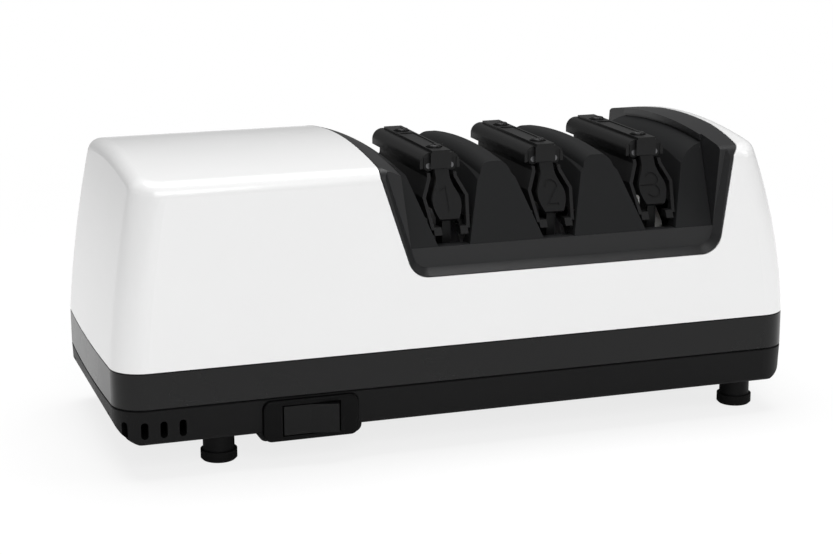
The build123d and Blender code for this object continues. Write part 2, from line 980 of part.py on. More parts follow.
def side_window(number):
    """Opening through a fin's side walls, where the disks stand beside the blade."""
    near = lip_front - lip_thickness - fin_gap - fin_wall
    sill = lip_top + fin_wall
    foot = lip_front - lap_gap - fin_wall - lean * fin_wall
    brow = foot - lean * (side_window_top - sill)
    low = deck_top - fin_wall
    with BuildPart() as window:
        with BuildSketch(Plane.YZ):
            with BuildLine():
                Polyline(
                    (-near, low),
                    (-near, sill),
                    (-foot, sill),
                    (-brow, side_window_top),
                    (brow, side_window_top),
                    (foot, sill),
                    (near, sill),
                    (near, low),
                    close=True,
                )
            make_face()
        extrude(amount=far, both=True)
        with BuildSketch(at_z(low)):
            with Locations(*[(stage_x(stage), 0) for stage in range(stage_count)]):
                Rectangle(2 * (disk_face + deck_gap), body_width)
        extrude(amount=crest_height, mode=Mode.INTERSECT)
        with BuildSketch(at_z(low)):
            with Locations((fin_middle(number), -peg_y), (fin_middle(number), peg_y)):
                Circle(2 * peg_radius)
        extrude(amount=crest_height, mode=Mode.SUBTRACT)
    return window.part


def make_angle_fin(number):
    """Fin that sets the sharpening angle on both of its sides, hollow underneath."""
    with BuildPart() as angle_fin:
        add(fin_block(number, 0, crest_height))
        add(drum(fin_top_outline(number)), mode=Mode.INTERSECT)
        add(fin_hollow(number), mode=Mode.SUBTRACT)
        add(side_window(number), mode=Mode.SUBTRACT)
        with BuildSketch(at_z(deck_top - peg_length)):
            with Locations((fin_middle(number), -peg_y), (fin_middle(number), peg_y)):
                Circle(peg_radius)
        extrude(amount=peg_length + fin_wall)
    return angle_fin.part


# ---------------------------------------------------------------- knife guides
def tab_plane(stage):
    """Plane of a stage's number tab, leaning back with the fins."""
    z = bulb_height
    up = Vector(0, math.sin(math.radians(face_lean)), math.cos(math.radians(face_lean)))
    origin = (stage_x(stage), -(face_y(z) - fin_gap * 2), z)
    return Plane(origin=origin, x_dir=(1, 0, 0), z_dir=Vector(1, 0, 0).cross(up))


def tab_outline(stage):
    """Keyhole-shaped number tab: narrow neck, round bulb and a straight foot."""
    slope = 1 / math.cos(math.radians(face_lean))
    top = (tab_top - bulb_height) * slope
    waist = (tab_top - 3.0 - bulb_height) * slope
    foot = (tab_bottom - bulb_height) * slope
    base = bulb_half * 0.68
    with BuildSketch(tab_plane(stage)) as outline:
        with BuildLine():
            Line((-neck_half, top), (neck_half, top))
            Line((neck_half, top), (neck_half, waist))
            Spline((neck_half, waist), (bulb_half, 0), (base, foot), tangents=((0.15, -1), (-0.5, -1)))
            Line((base, foot), (-base, foot))
            Spline((-base, foot), (-bulb_half, 0), (-neck_half, waist), tangents=((-0.5, 1), (0.15, 1)))
            Line((-neck_half, waist), (-neck_half, top))
        make_face()
    return outline.sketch.face()


def digit_face(stage):
    """Engraved stage number as stroked lines on the tab."""
    half = digit_size / 2
    wide = digit_width / 2
    bowl = half / 2
    with BuildSketch(tab_plane(stage)) as digit:
        with BuildLine() as stroke:
            if stage == 0:
                Polyline((-wide, half - digit_flag), (0, half), (0, -half))
            if stage == 1:
                ThreePointArc((-wide, bowl), (0, half), (wide, bowl))
                Polyline((wide, bowl), (-wide, -half), (wide, -half))
            if stage == 2:
                ThreePointArc((-wide, half - digit_flag), (wide, bowl), (0, 0))
                ThreePointArc((0, 0), (wide, -bowl), (-wide, digit_flag - half))
        trace(lines=stroke.line, line_width=digit_stroke)
    return digit.sketch.faces()


def web_face(stage):
    """Y-Z outline of the guide's middle web, running from tab to back."""
    low = face_y(web_bottom) - fin_gap * 2 - tab_thickness
    high = face_y(tab_top) - fin_gap * 2 - tab_thickness
    with BuildSketch(at_x(stage_x(stage) - web_half)) as outline:
        with BuildLine():
            Polyline(
                (guide_front + cap_end, guide_ceiling),
                (guide_front + cap_end, tab_top),
                (-high, tab_top),
                (-low, web_bottom),
                (pillar_far, web_bottom),
                (pillar_far, web_bottom + 5),
                (guide_back - cap_end, skirt_bottom),
                (guide_back - cap_end, guide_ceiling),
                close=True,
            )
        make_face()
    return outline.sketch.face()


def make_guide_frame(stage):
    """Fixed frame of one stage: number tab, web, lugs, screw bosses and two pillars."""
    x = stage_x(stage)
    with BuildPart() as guide_frame:
        extrude(tab_outline(stage), amount=-tab_thickness)
        extrude(digit_face(stage), amount=-digit_depth, mode=Mode.SUBTRACT)
        extrude(web_face(stage), amount=2 * web_half)
        for y in (guide_front + cap_end + lug_length, guide_back - cap_end):
            with BuildSketch(at_y(y)):
                with Locations((x, pivot_height)):
                    align = (Align.CENTER, Align.MIN)
                    Rectangle(2 * (pivot_offset + lug_radius), guide_ceiling - pivot_height, align=align)
                with Locations((x - pivot_offset, pivot_height), (x + pivot_offset, pivot_height)):
                    Circle(lug_radius)
            extrude(amount=lug_length)
        with BuildSketch(at_z(guide_ceiling)):
            with Locations((x, guide_screw_front), (x, guide_screw_back)):
                Circle(guide_boss)
        extrude(amount=-guide_screw_length)
        with BuildSketch(at_z(deck_top)):
            with Locations((x, -peg_y), (x, peg_y)):
                RectangleRounded(2 * pad_half, pillar_far - pillar_near, 1)
        extrude(amount=pad_height)
        with BuildSketch(at_z(deck_top)):
            with Locations((x, -peg_y), (x, peg_y)):
                Rectangle(2 * web_half, pillar_far - pillar_near)
        extrude(amount=web_bottom - deck_top)
        with BuildSketch(at_z(deck_top - peg_length)):
            with Locations((x, -peg_y), (x, peg_y)):
                Circle(peg_radius)
        extrude(amount=peg_length)
        with BuildSketch(at_z(guide_ceiling)):
            with Locations((x, guide_screw_front), (x, guide_screw_back)):
                Circle(guide_screw_radius + seat_gap)
        extrude(amount=-guide_screw_length - 1, mode=Mode.SUBTRACT)
        with BuildSketch(at_y(guide_back)):
            with Locations((x - pivot_offset, pivot_height), (x + pivot_offset, pivot_height)):
                Circle(pin_radius + seat_gap)
        extrude(amount=guide_back - guide_front, mode=Mode.SUBTRACT)
    return guide_frame.part


def make_knife_guide(stage):
    """Cap of one stage: rounded bar with a raised label strip, screwed on its frame."""
    x = stage_x(stage)
    top = strip_top - strip_rise
    with BuildPart() as knife_guide:
        with BuildSketch(at_y(guide_back)):
            with Locations((x, skirt_bottom)):
                Rectangle(2 * guide_half, top - skirt_bottom, align=(Align.CENTER, Align.MIN))
        extrude(amount=guide_back - guide_front)
        shoulders = knife_guide.edges().filter_by(Axis.Y).group_by(Axis.Z)[-1]
        fillet(shoulders, guide_shoulder)
        with BuildSketch(at_y(strip_back)):
            with Locations((x, top - 1)):
                Rectangle(2 * strip_half, strip_rise + 1, align=(Align.CENTER, Align.MIN))
        extrude(amount=strip_back - guide_front)
        with BuildSketch(at_y(guide_back - cap_end)):
            with Locations((x, skirt_bottom)):
                width = 2 * (pivot_offset + lug_radius + fin_gap)
                Rectangle(width, guide_ceiling - skirt_bottom, align=(Align.CENTER, Align.MIN))
        extrude(amount=guide_back - guide_front - 2 * cap_end, mode=Mode.SUBTRACT)
        with BuildSketch(at_z(strip_top)):
            with Locations((x, (label_front + label_back) / 2)):
                Rectangle(2 * label_half, label_back - label_front)
        extrude(amount=-label_depth, mode=Mode.SUBTRACT)
        with BuildSketch(at_z(strip_top)):
            with Locations((x, guide_screw_front), (x, guide_screw_back)):
                Circle(guide_screw_head + seat_ring)
        extrude(amount=-seat_depth, mode=Mode.SUBTRACT)
        with BuildSketch(at_z(strip_top)):
            with Locations((x, guide_screw_front), (x, guide_screw_back)):
                Circle(guide_screw_radius + fin_gap)
        extrude(amount=-guide_screw_length, mode=Mode.SUBTRACT)
        with BuildSketch(at_y(guide_front + cap_end)):
            for side in (-1, 1):
                with Locations((x + side * head_half, skirt_bottom)):
                    align = (Align.MAX if side < 0 else Align.MIN, Align.MIN)
                    Rectangle(guide_half, strip_top - skirt_bottom, align=align)
        extrude(amount=2 * cap_end, mode=Mode.SUBTRACT)
    return knife_guide.part


def make_guide_screws():
    """Six pan-head screws that clamp the guide caps to their frames."""
    seat = strip_top - seat_depth
    with BuildPart() as guide_screws:
        for stage in range(stage_count):
            for y in (guide_screw_front, guide_screw_back):
                with BuildSketch(at_z(seat)):
                    with Locations((stage_x(stage), y)):
                        Circle(guide_screw_head)
                extrude(amount=seat_depth + strip_rise)
                with BuildSketch(at_z(seat)):
                    with Locations((stage_x(stage), y)):
                        Circle(guide_screw_radius)
                extrude(amount=-guide_screw_length)
        tops = guide_screws.edges().filter_by(GeomType.CIRCLE).group_by(Axis.Z)[-1]
        fillet(tops, strip_rise * 0.8)
        for stage in range(stage_count):
            for y in (guide_screw_front, guide_screw_back):
                with BuildSketch(at_z(seat + seat_depth + strip_rise)):
                    with Locations((stage_x(stage), y)):
                        Rectangle(guide_screw_head * 1.3, 0.6)
                        Rectangle(0.6, guide_screw_head * 1.3)
                extrude(amount=-strip_rise, mode=Mode.SUBTRACT)
    return guide_screws.part


def make_guide_pins():
    """Six steel hinge pins for the sprung arms."""
    back = guide_back - cap_end - running_gap
    with BuildPart() as guide_pins:
        with BuildSketch(at_y(back)):
            for stage in range(stage_count):
                for side in (-1, 1):
                    with Locations((stage_x(stage) + side * pivot_offset, pivot_height)):
                        Circle(pin_radius)
        extrude(amount=back - guide_front - cap_end)
    return guide_pins.part


def arm_side_face(x):
    """Y-Z outline that trims one arm: long leaf above, short foot at the front."""
    clear = pivot_height - lug_radius - lap_gap
    knuckle_front = guide_front + cap_end + lug_length + lap_gap
    low_front = face_y(foot_block_low) - arm_setback
    with BuildSketch(at_x(x)) as outline:
        with BuildLine():
            Polyline(
                (knuckle_front, guide_ceiling),
                (knuckle_front, clear),
                (-(face_y(clear) - arm_setback), clear),
                (-low_front, foot_block_low),
                (foot_block_back, foot_block_low),
                (foot_block_back, arm_clear),
                (arm_back, arm_clear),
                (arm_back, guide_ceiling),
                close=True,
            )
        make_face()
    return outline.sketch.face()


def make_guide_arm(stage, side):
    """Sprung leaf that holds the blade against the fin, hinged on its pin."""
    x = stage_x(stage)
    with BuildPart() as guide_arm:
        with BuildSketch(at_y(arm_back)):
            with BuildLine() as middle:
                Polyline(
                    (x + side * (pivot_offset + 0.7), pivot_height - 1.2),
                    (x + side * (pivot_offset + 0.8), pivot_height - 3.8),
                    (x + side * arm_elbow, arm_elbow_height),
                    (x + side * arm_foot_offset, arm_foot_height),
                )
            trace(lines=middle.line, line_width=arm_thickness)
            with Locations((x + side * pivot_offset, pivot_height)):
                Circle(knuckle_radius)
            with Locations((x + side * (foot_block_inner + foot_block_outer) / 2, foot_block_low)):
                width = foot_block_outer - foot_block_inner
                Rectangle(width, foot_block_high - foot_block_low, align=(Align.CENTER, Align.MIN))
            with Locations((x + side * pivot_offset, pivot_height)):
                Circle(pin_radius + running_gap, mode=Mode.SUBTRACT)
        extrude(amount=arm_back + body_width / 2)
        extrude(arm_side_face(x - guide_half * 2), amount=guide_half * 4, mode=Mode.INTERSECT)
    return guide_arm.part


# ---------------------------------------------------------------- drive line
def make_drive_shaft():
    """Motor and disk shaft in one: round in the bearings, with a flat past the disks."""
    with BuildPart() as drive_shaft:
        with BuildSketch(at_x(shaft_left)):
            with Locations((0, shaft_height)):
                Circle(shaft_radius)
        extrude(amount=shaft_right - shaft_left)
        chamfer(drive_shaft.edges().filter_by(GeomType.CIRCLE), edge_break)
        with BuildSketch(at_x(tray_left)):
            with Locations((0, shaft_height + shaft_radius - shaft_flat)):
                Rectangle(2 * shaft_radius, shaft_radius, align=(Align.CENTER, Align.MIN))
        extrude(amount=tray_right - tray_left, mode=Mode.SUBTRACT)
        for x in clip_places():
            with BuildSketch(at_x(x - clip_gap)):
                with Locations((0, shaft_height)):
                    Circle(2 * shaft_radius)
                    Circle(clip_bore, mode=Mode.SUBTRACT)
            extrude(amount=clip_thickness + 2 * clip_gap, mode=Mode.SUBTRACT)
    return drive_shaft.part


def clip_places():
    """Left faces of the six clips that stop the disk hubs."""
    places = []
    for stage in range(stage_count):
        places.append(stage_x(stage) - hub_end - clip_gap - clip_thickness)
        places.append(stage_x(stage) + hub_end + clip_gap)
    return places


def make_retaining_clips():
    """Six open spring clips in the grooves of the shaft."""
    with BuildPart() as retaining_clips:
        for x in clip_places():
            with BuildSketch(at_x(x)):
                with Locations((0, shaft_height)):
                    Circle(clip_radius)
                    Circle(clip_bore + seat_gap, mode=Mode.SUBTRACT)
                with Locations((0, shaft_height)):
                    Rectangle(clip_bore, far, align=(Align.CENTER, Align.MAX), mode=Mode.SUBTRACT)
            extrude(amount=clip_thickness)
    return retaining_clips.part


def disk_section(stage):
    """Half section of a disk, as distance from the stage's middle and radius."""
    end = disk_inner + disk_web
    if stage == stage_count - 1:
        shell = disk_radius - disk_web
        outer = [(disk_inner, disk_radius), (disk_face, disk_radius)]
        inner = [(disk_face, shell), (end, shell)]
    else:
        rim = disk_face - disk_rim
        tip = disk_radius - cone_drop
        root = disk_radius - rim_step
        slope = (root - tip) / (rim - disk_inner)
        outer = [(disk_inner, tip), (rim, root), (rim, disk_radius), (disk_face, disk_radius)]
        inner = [(x, tip + slope * (x - disk_inner) - cone_wall) for x in (disk_face, end)]
    return [(disk_inner, 0)] + outer + inner + [(end, hub_radius), (hub_end, hub_radius), (hub_end, 0)]


def make_disk(stage, side):
    """Cone or drum on a web and a hub, sliding along the shaft's flat."""
    x = stage_x(stage)
    start = x + side * disk_inner
    with BuildPart() as disk:
        with BuildSketch(at_y(0)):
            with BuildLine():
                Polyline(*[(x + side * u, shaft_height + r) for u, r in disk_section(stage)], close=True)
            make_face()
        revolve(axis=Axis((0, 0, shaft_height), (1, 0, 0)))
        with BuildSketch(at_x(start)):
            with Locations((0, shaft_height)):
                with PolarLocations(disk_hole_circle, disk_holes):
                    Circle(disk_hole)
        extrude(amount=side * disk_web, mode=Mode.SUBTRACT)
        with BuildSketch(at_x(start)):
            with Locations((0, shaft_height)):
                Circle(shaft_radius + running_gap)
            with Locations((0, shaft_height + shaft_radius - shaft_flat + running_gap)):
                align = (Align.CENTER, Align.MIN)
                Rectangle(2 * hub_radius, hub_radius, align=align, mode=Mode.SUBTRACT)
        extrude(amount=side * hub_end, mode=Mode.SUBTRACT)
    return disk.part


def make_spring(stage):
    """Compression spring that pushes the two disks of a stage apart."""
    free = 2 * disk_inner - spring_wire - 2 * clip_gap
    start = (stage_x(stage) - free / 2, 0, shaft_height)
    with BuildPart() as spring:
        with BuildLine() as coil:
            Helix(free / spring_turns, free, spring_radius, center=start, direction=(1, 0, 0))
        with BuildSketch(Plane(origin=coil.line @ 0, z_dir=coil.line % 0)):
            Circle(spring_wire / 2)
        sweep(is_frenet=True)
    return spring.part


def make_rotor_core():
    """Squirrel-cage rotor stack with its two short-circuit rings."""
    radius = stator_bore - air_gap
    with BuildPart() as rotor_core:
        with BuildSketch(at_x(stator_left + 1)):
            with Locations((0, shaft_height)):
                Circle(radius)
        extrude(amount=stator_right - stator_left - 2)
        with BuildSketch(at_x(stator_left - rotor_ring + 1)):
            with Locations((0, shaft_height)):
                Circle(radius - 1.5)
        extrude(amount=stator_right - stator_left - 2 + 2 * rotor_ring)
        with BuildSketch(at_x(stator_left - bracket_depth)):
            with Locations((0, shaft_height)):
                Circle(shaft_radius + seat_gap)
        extrude(amount=far, mode=Mode.SUBTRACT)
    return rotor_core.part


def make_cooling_fan():
    """Radial fan on the end of the shaft, blades between a back plate and open air."""
    with BuildPart() as cooling_fan:
        with BuildSketch(at_x(fan_left)):
            with Locations((0, shaft_height)):
                Circle(fan_hub)
        extrude(amount=fan_width)
        with BuildSketch(at_x(fan_left + fan_width - fan_plate_thickness)):
            with Locations((0, shaft_height)):
                Circle(fan_radius)
        extrude(amount=fan_plate_thickness)
        for number in range(fan_blades):
            turn = 360 / fan_blades * number
            with BuildSketch(at_x(fan_left)):
                with Locations(Location((0, shaft_height), turn)):
                    with Locations((fan_hub - 0.5, 0)):
                        align = (Align.MIN, Align.CENTER)
                        Rectangle(fan_radius - fan_hub, fan_blade, align=align)
            extrude(amount=fan_width - fan_plate_thickness / 2)
        with BuildSketch(at_x(fan_left)):
            with Locations((0, shaft_height)):
                Circle(shaft_radius + seat_gap)
        extrude(amount=fan_width, mode=Mode.SUBTRACT)
    return cooling_fan.part


# ---------------------------------------------------------------- motor
def bolt_places():
    reach = bolt_circle * math.cos(math.radians(45))
    return [(y, shaft_height + z) for y in (-reach, reach) for z in (-reach, reach)]


def make_motor_stator():
    """Laminated stator stack with winding slots open to the bore."""
    with BuildPart() as motor_stator:
        with BuildSketch(at_x(stator_left)):
            with Locations((0, shaft_height)):
                Circle(stator_radius)
                Circle(stator_bore, mode=Mode.SUBTRACT)
                with PolarLocations((winding_inner + winding_outer) / 2, slot_count):
                    Rectangle(winding_outer - winding_inner + 0.4, slot_width, mode=Mode.SUBTRACT)
                with PolarLocations(winding_inner - 1, slot_count):
                    Rectangle(2.4, slot_mouth, mode=Mode.SUBTRACT)
            with Locations(*bolt_places()):
                Circle(bolt_radius + running_gap, mode=Mode.SUBTRACT)
        extrude(amount=stator_right - stator_left)
    return motor_stator.part


def make_motor_winding():
    """Copper winding: bars in the slots joined by a bundled ring at each end."""
    with BuildPart() as motor_winding:
        for x in (stator_left - winding_overhang, stator_right + 0.5):
            with BuildSketch(at_x(x)):
                with Locations((0, shaft_height)):
                    Circle(winding_outer)
                    Circle(winding_inner, mode=Mode.SUBTRACT)
            extrude(amount=winding_overhang - 0.5)
        fillet(motor_winding.edges(), winding_round)
        with BuildSketch(at_x(stator_left - winding_overhang / 2)):
            with Locations((0, shaft_height)):
                with PolarLocations((winding_inner + winding_outer) / 2, slot_count):
                    Rectangle(winding_outer - winding_inner - 0.4, slot_width - 0.4)
        extrude(amount=stator_right - stator_left + winding_overhang)
    return motor_winding.part


def make_motor_bracket(edge, side):
    """End bracket of the motor: rim, open plate, bearing boss and a screwed foot."""
    plate = edge + side * bracket_depth
    outer = plate + side * bracket_plate
    with BuildPart() as motor_bracket:
        with BuildSketch(at_x(edge)):
            with Locations((0, shaft_height)):
                Circle(stator_radius)
                Circle(bracket_inner, mode=Mode.SUBTRACT)
        extrude(amount=side * bracket_depth)
        with BuildSketch(at_x(plate)):
            with Locations((0, shaft_height)):
                Circle(stator_radius)
                Circle(bracket_inner, mode=Mode.SUBTRACT)
                Circle(boss_radius)
                with PolarLocations(0, 4):
                    Rectangle(2 * bracket_inner, bracket_arm)
            with Locations((0, shaft_height)):
                align = (Align.CENTER, Align.MAX)
                Rectangle(2 * boss_radius, shaft_height - motor_seat, align=align)
        extrude(amount=side * bracket_plate)
        with BuildSketch(at_x(outer)):
            with Locations((0, shaft_height)):
                Circle(boss_radius)
        extrude(amount=-side * bearing_length)
        with BuildSketch(at_z(motor_seat)):
            with Locations((plate, 0)):
                align = (Align.MAX if side < 0 else Align.MIN, Align.CENTER)
                Rectangle(bracket_plate + foot_reach, 2 * foot_half, align=align)
            with Locations((outer + side * foot_reach / 2, 0)):
                with GridLocations(1, 2 * mount_screw_y, 1, 2):
                    Circle(mount_screw_radius + lap_gap, mode=Mode.SUBTRACT)
        extrude(amount=foot_plate)
        with BuildSketch(at_x(outer + side)):
            with Locations((0, shaft_height)):
                Circle(bearing_radius + seat_gap)
            with Locations(*bolt_places()):
                Circle(bolt_radius + running_gap)
        extrude(amount=-side * (bracket_depth + bracket_plate + 2), mode=Mode.SUBTRACT)
    return motor_bracket.part


def make_bearing(x):
    """Plain bearing sleeve for the shaft, starting at one X."""
    with BuildPart() as bearing:
        with BuildSketch(at_x(x)):
            with Locations((0, shaft_height)):
                Circle(bearing_radius)
                Circle(shaft_radius + running_gap, mode=Mode.SUBTRACT)
        extrude(amount=bearing_length)
        chamfer(bearing.edges().filter_by(GeomType.CIRCLE).sort_by(SortBy.RADIUS)[-2:], edge_break)
    return bearing.part


def make_motor_bolts():
    """Four long bolts that clamp both brackets on the stator, with heads and nuts."""
    left = fan_plate()
    right = drive_plate()
    with BuildPart() as motor_bolts:
        with BuildSketch(at_x(left - bolt_head_height)):
            with Locations(*bolt_places()):
                Circle(bolt_head)
        extrude(amount=bolt_head_height)
        with BuildSketch(at_x(left - bolt_head_height)):
            with Locations(*bolt_places()):
                Circle(bolt_radius)
        extrude(amount=right - left + 2 * bolt_head_height + 1)
        with BuildSketch(at_x(right)):
            with Locations(*bolt_places()):
                RegularPolygon(bolt_head, 6)
        extrude(amount=bolt_head_height)
    return motor_bolts.part


def make_mount_screws():
    """Six screws that hold the motor and the outboard bracket on the pan."""
    top = motor_seat + foot_plate
    with BuildPart() as mount_screws:
        with BuildSketch(at_z(top)):
            with Locations(*mount_places()):
                Circle(mount_screw_head)
        extrude(amount=mount_head_height)
        with BuildSketch(at_z(top)):
            with Locations(*mount_places()):
                Circle(mount_screw_radius)
        extrude(amount=-mount_screw_length)
        with BuildSketch(at_z(top + mount_head_height)):
            with Locations(*mount_places()):
                Rectangle(1.4 * mount_screw_head, 0.8)
                Rectangle(0.8, 1.4 * mount_screw_head)
        extrude(amount=-mount_head_height / 2, mode=Mode.SUBTRACT)
    return mount_screws.part


def make_bearing_bracket():
    """Outboard bracket that carries the right-hand end of the shaft."""
    with BuildPart() as bearing_bracket:
        with BuildSketch(at_x(outboard_x)) as plate:
            with Locations((0, motor_seat)):
                height = shaft_height + boss_radius + 2 - motor_seat
                Rectangle(2 * outboard_half, height, align=(Align.CENTER, Align.MIN))
            fillet(plate.vertices().group_by(Axis.Y)[-1], outboard_half * 0.8)
        extrude(amount=bracket_plate)
        with BuildSketch(at_x(outboard_bearing())):
            with Locations((0, shaft_height)):
                Circle(boss_radius)
        extrude(amount=bearing_length)
        with BuildSketch(at_z(motor_seat)):
            with Locations((outboard_x, 0)):
                align = (Align.MIN, Align.CENTER)
                Rectangle(bracket_plate + outboard_foot, 2 * outboard_half, align=align)
            with Locations(*mount_places()[4:]):
                Circle(mount_screw_radius + lap_gap, mode=Mode.SUBTRACT)
        extrude(amount=foot_plate)
        for y in (-outboard_half, outboard_half - rib):
            with BuildSketch(Plane(origin=(0, y, 0), x_dir=(1, 0, 0), z_dir=(0, -1, 0))):
                with BuildLine():
                    start = outboard_x + bracket_plate
                    Polyline(
                        (start - 1, motor_seat + 1),
                        (start + outboard_foot, motor_seat + 1),
                        (start + outboard_foot, motor_seat + foot_plate),
                        (start, shaft_height - boss_radius),
                        (start - 1, shaft_height - boss_radius),
                        close=True,
                    )
                make_face()
            extrude(amount=-rib)
        with BuildSketch(at_x(outboard_bearing() - 1)):
            with Locations((0, shaft_height)):
                Circle(bearing_radius + seat_gap)
        extrude(amount=bearing_length + 2, mode=Mode.SUBTRACT)
    return bearing_bracket.part


def outboard_bearing():
    """X of the left face of the outboard bearing."""
    return outboard_x + bracket_plate / 2 - bearing_length / 2


# ---------------------------------------------------------------- dust tray
def make_dust_tray():
    """Open box round the disks that gathers the grindings, with a clean-out port."""
    low = pan_bottom + pan_floor
    length = tray_right - tray_left
    middle = (tray_right + tray_left) / 2
    with BuildPart() as dust_tray:
        with BuildSketch(at_z(low)):
            with Locations((middle, 0)):
                Rectangle(length, 2 * tray_half)
        extrude(amount=tray_top - low)
        with BuildSketch(at_z(low + tray_wall)):
            with Locations((middle, 0)):
                Rectangle(length - 2 * tray_wall, 2 * (tray_half - tray_wall))
        extrude(amount=tray_top, mode=Mode.SUBTRACT)
        with BuildSketch(at_x(tray_left - 1)):
            with Locations((0, shaft_height)):
                Circle(shaft_radius + shaft_clear)
                align = (Align.CENTER, Align.MIN)
                Rectangle(2 * (shaft_radius + shaft_clear), tray_top, align=align)
        extrude(amount=length + 2, mode=Mode.SUBTRACT)
        with BuildSketch(at_z(low - 1)):
            with Locations((port_x, 0)):
                RectangleRounded(port_length, port_width, port_corner)
        extrude(amount=tray_wall + 2, mode=Mode.SUBTRACT)
    return dust_tray.part


def make_swarf_magnets():
    """Flat magnets on the tray's back wall that catch steel dust under each stage."""
    with BuildPart() as swarf_magnets:
        with BuildSketch(at_y(tray_half - tray_wall)):
            for stage in range(stage_count):
                low = pan_bottom + pan_floor + tray_wall + fin_gap
                with Locations((stage_x(stage), low)):
                    Rectangle(magnet_length, magnet_height, align=(Align.CENTER, Align.MIN))
        extrude(amount=magnet_thickness)
    return swarf_magnets.part


def make_cleanout_cover():
    """Sliding cover under the port, with finger ribs."""
    top = pan_bottom - cover_gap
    with BuildPart() as cleanout_cover:
        with BuildSketch(at_z(top)):
            with Locations((port_x, 0)):
                Rectangle(cover_length, cover_width)
        extrude(amount=-cover_thickness)
        with BuildSketch(at_z(top - cover_thickness)):
            with Locations((port_x, 0)):
                with GridLocations(1, cover_rib_pitch, 1, 3):
                    SlotOverall(cover_length / 2, 1.5)
        extrude(amount=-cover_rib)
    return cleanout_cover.part


# ---------------------------------------------------------------- switch
def switch_face():
    """Distance from the middle line to the front of the switch plate."""
    return body_width / 2 + switch_proud


def tunnel_back():
    return switch_face() - switch_plate_thickness - tunnel_depth


def make_switch_bezel():
    """Proud rounded plate with a tunnel behind it and two trunnion holes."""
    width, height = tunnel_size()
    with BuildPart() as switch_bezel:
        with BuildSketch(at_y(-switch_face() + switch_plate_thickness)):
            with Locations((switch_x, switch_z)):
                RectangleRounded(switch_plate_width, switch_plate_height, switch_plate_corner)
        extrude(amount=switch_plate_thickness)
        front = switch_bezel.faces().sort_by(Axis.Y)[0]
        fillet(front.outer_wire().edges(), plate_round)
        with BuildSketch(at_y(-tunnel_back())):
            with Locations((switch_x, switch_z)):
                Rectangle(width, height)
        extrude(amount=tunnel_depth + 1)
        with BuildSketch(at_y(-tunnel_back() + 1)):
            with Locations((switch_x, switch_z)):
                Rectangle(2 * (rocker_half + rocker_gap), rocker_height + 2 * rocker_gap)
        extrude(amount=body_width, mode=Mode.SUBTRACT)
        with BuildSketch(at_z(switch_z)):
            with Locations((switch_x, -switch_face() + rocker_pivot)):
                Circle(trunnion_radius + running_gap)
        reach = rocker_height / 2 + rocker_gap + trunnion_length
        extrude(amount=reach, both=True, mode=Mode.SUBTRACT)
    return switch_bezel.part


def make_switch_rocker():
    """Rocker with a shallow ridge, resting with its right half proud."""
    tip = rocker_half * math.tan(math.radians(rocker_throw))
    with BuildPart() as switch_rocker:
        with BuildSketch(at_z(switch_z - rocker_height / 2)):
            with BuildLine():
                Polyline(
                    (switch_x - 2 * rocker_half, -switch_face()),
                    (switch_x, -switch_face()),
                    (switch_x + 2 * rocker_half, -switch_face() - 2 * tip),
                    (switch_x + 2 * rocker_half, -switch_face() + rocker_pivot + rocker_back),
                    (switch_x - 2 * rocker_half, -switch_face() + rocker_pivot + rocker_back),
                    close=True,
                )
            make_face()
            with Locations((switch_x, -switch_face() + rocker_pivot)):
                Circle(rocker_half, mode=Mode.INTERSECT)
        extrude(amount=rocker_height)
        with BuildSketch(at_z(switch_z)):
            with Locations((switch_x, -switch_face() + rocker_pivot)):
                Circle(trunnion_radius)
        extrude(amount=rocker_height / 2 + rocker_gap + trunnion_length - 2 * running_gap, both=True)
    return switch_rocker.part


def make_switch_body():
    """Contact block behind the rocker with three blade terminals."""
    width = 2 * (rocker_half + rocker_gap - running_gap)
    height = 2 * (rocker_height / 2 + rocker_gap - running_gap)
    front = -switch_face() + rocker_pivot + 2 * rocker_back
    with BuildPart() as switch_body:
        with BuildSketch(at_y(-tunnel_back() + switch_body_depth)):
            with Locations((switch_x, switch_z)):
                Rectangle(width, height)
        extrude(amount=-tunnel_back() + switch_body_depth - front)
        with BuildSketch(at_y(-tunnel_back() + switch_body_depth + terminal_length)):
            with Locations((switch_x, switch_z)):
                with GridLocations(terminal_pitch, 1, 3, 1):
                    Rectangle(terminal_thickness, terminal_width)
        extrude(amount=terminal_length + 1)
    return switch_body.part


# ---------------------------------------------------------------- gland, feet, housing screws
def make_cord_gland():
    """Flanged gland with a short collar where the supply lead enters at the back."""
    face = switch_face()
    seat = body_width / 2 - wall / 2
    with BuildPart() as cord_gland:
        with BuildSketch(at_y(face)):
            with Locations((gland_x, gland_z)):
                Circle(gland_flange)
        extrude(amount=face - seat)
        with BuildSketch(at_y(face + gland_collar)):
            with Locations((gland_x, gland_z)):
                Circle(gland_radius)
        extrude(amount=gland_length)
        fillet(cord_gland.edges().filter_by(GeomType.CIRCLE).group_by(Axis.Y)[-1], gland_round)
        with BuildSketch(at_y(face + gland_collar + 1)):
            with Locations((gland_x, gland_z)):
                Circle(gland_bore)
        extrude(amount=gland_length + 2, mode=Mode.SUBTRACT)
    return cord_gland.part


def make_rubber_feet():
    """Four soft pads plugged into the foot posts of the pan."""
    with BuildPart() as rubber_feet:
        with BuildSketch(at_z(0)):
            with Locations(*foot_places()):
                Circle(foot_pad_radius)
        extrude(amount=foot_pad_height)
        chamfer(rubber_feet.edges().group_by(Axis.Z)[0], 2 * edge_break)
        with BuildSketch(at_z(foot_pad_height - 1)):
            with Locations(*foot_places()):
                Circle(foot_plug_radius)
        extrude(amount=foot_plug_height + 1)
    return rubber_feet.part


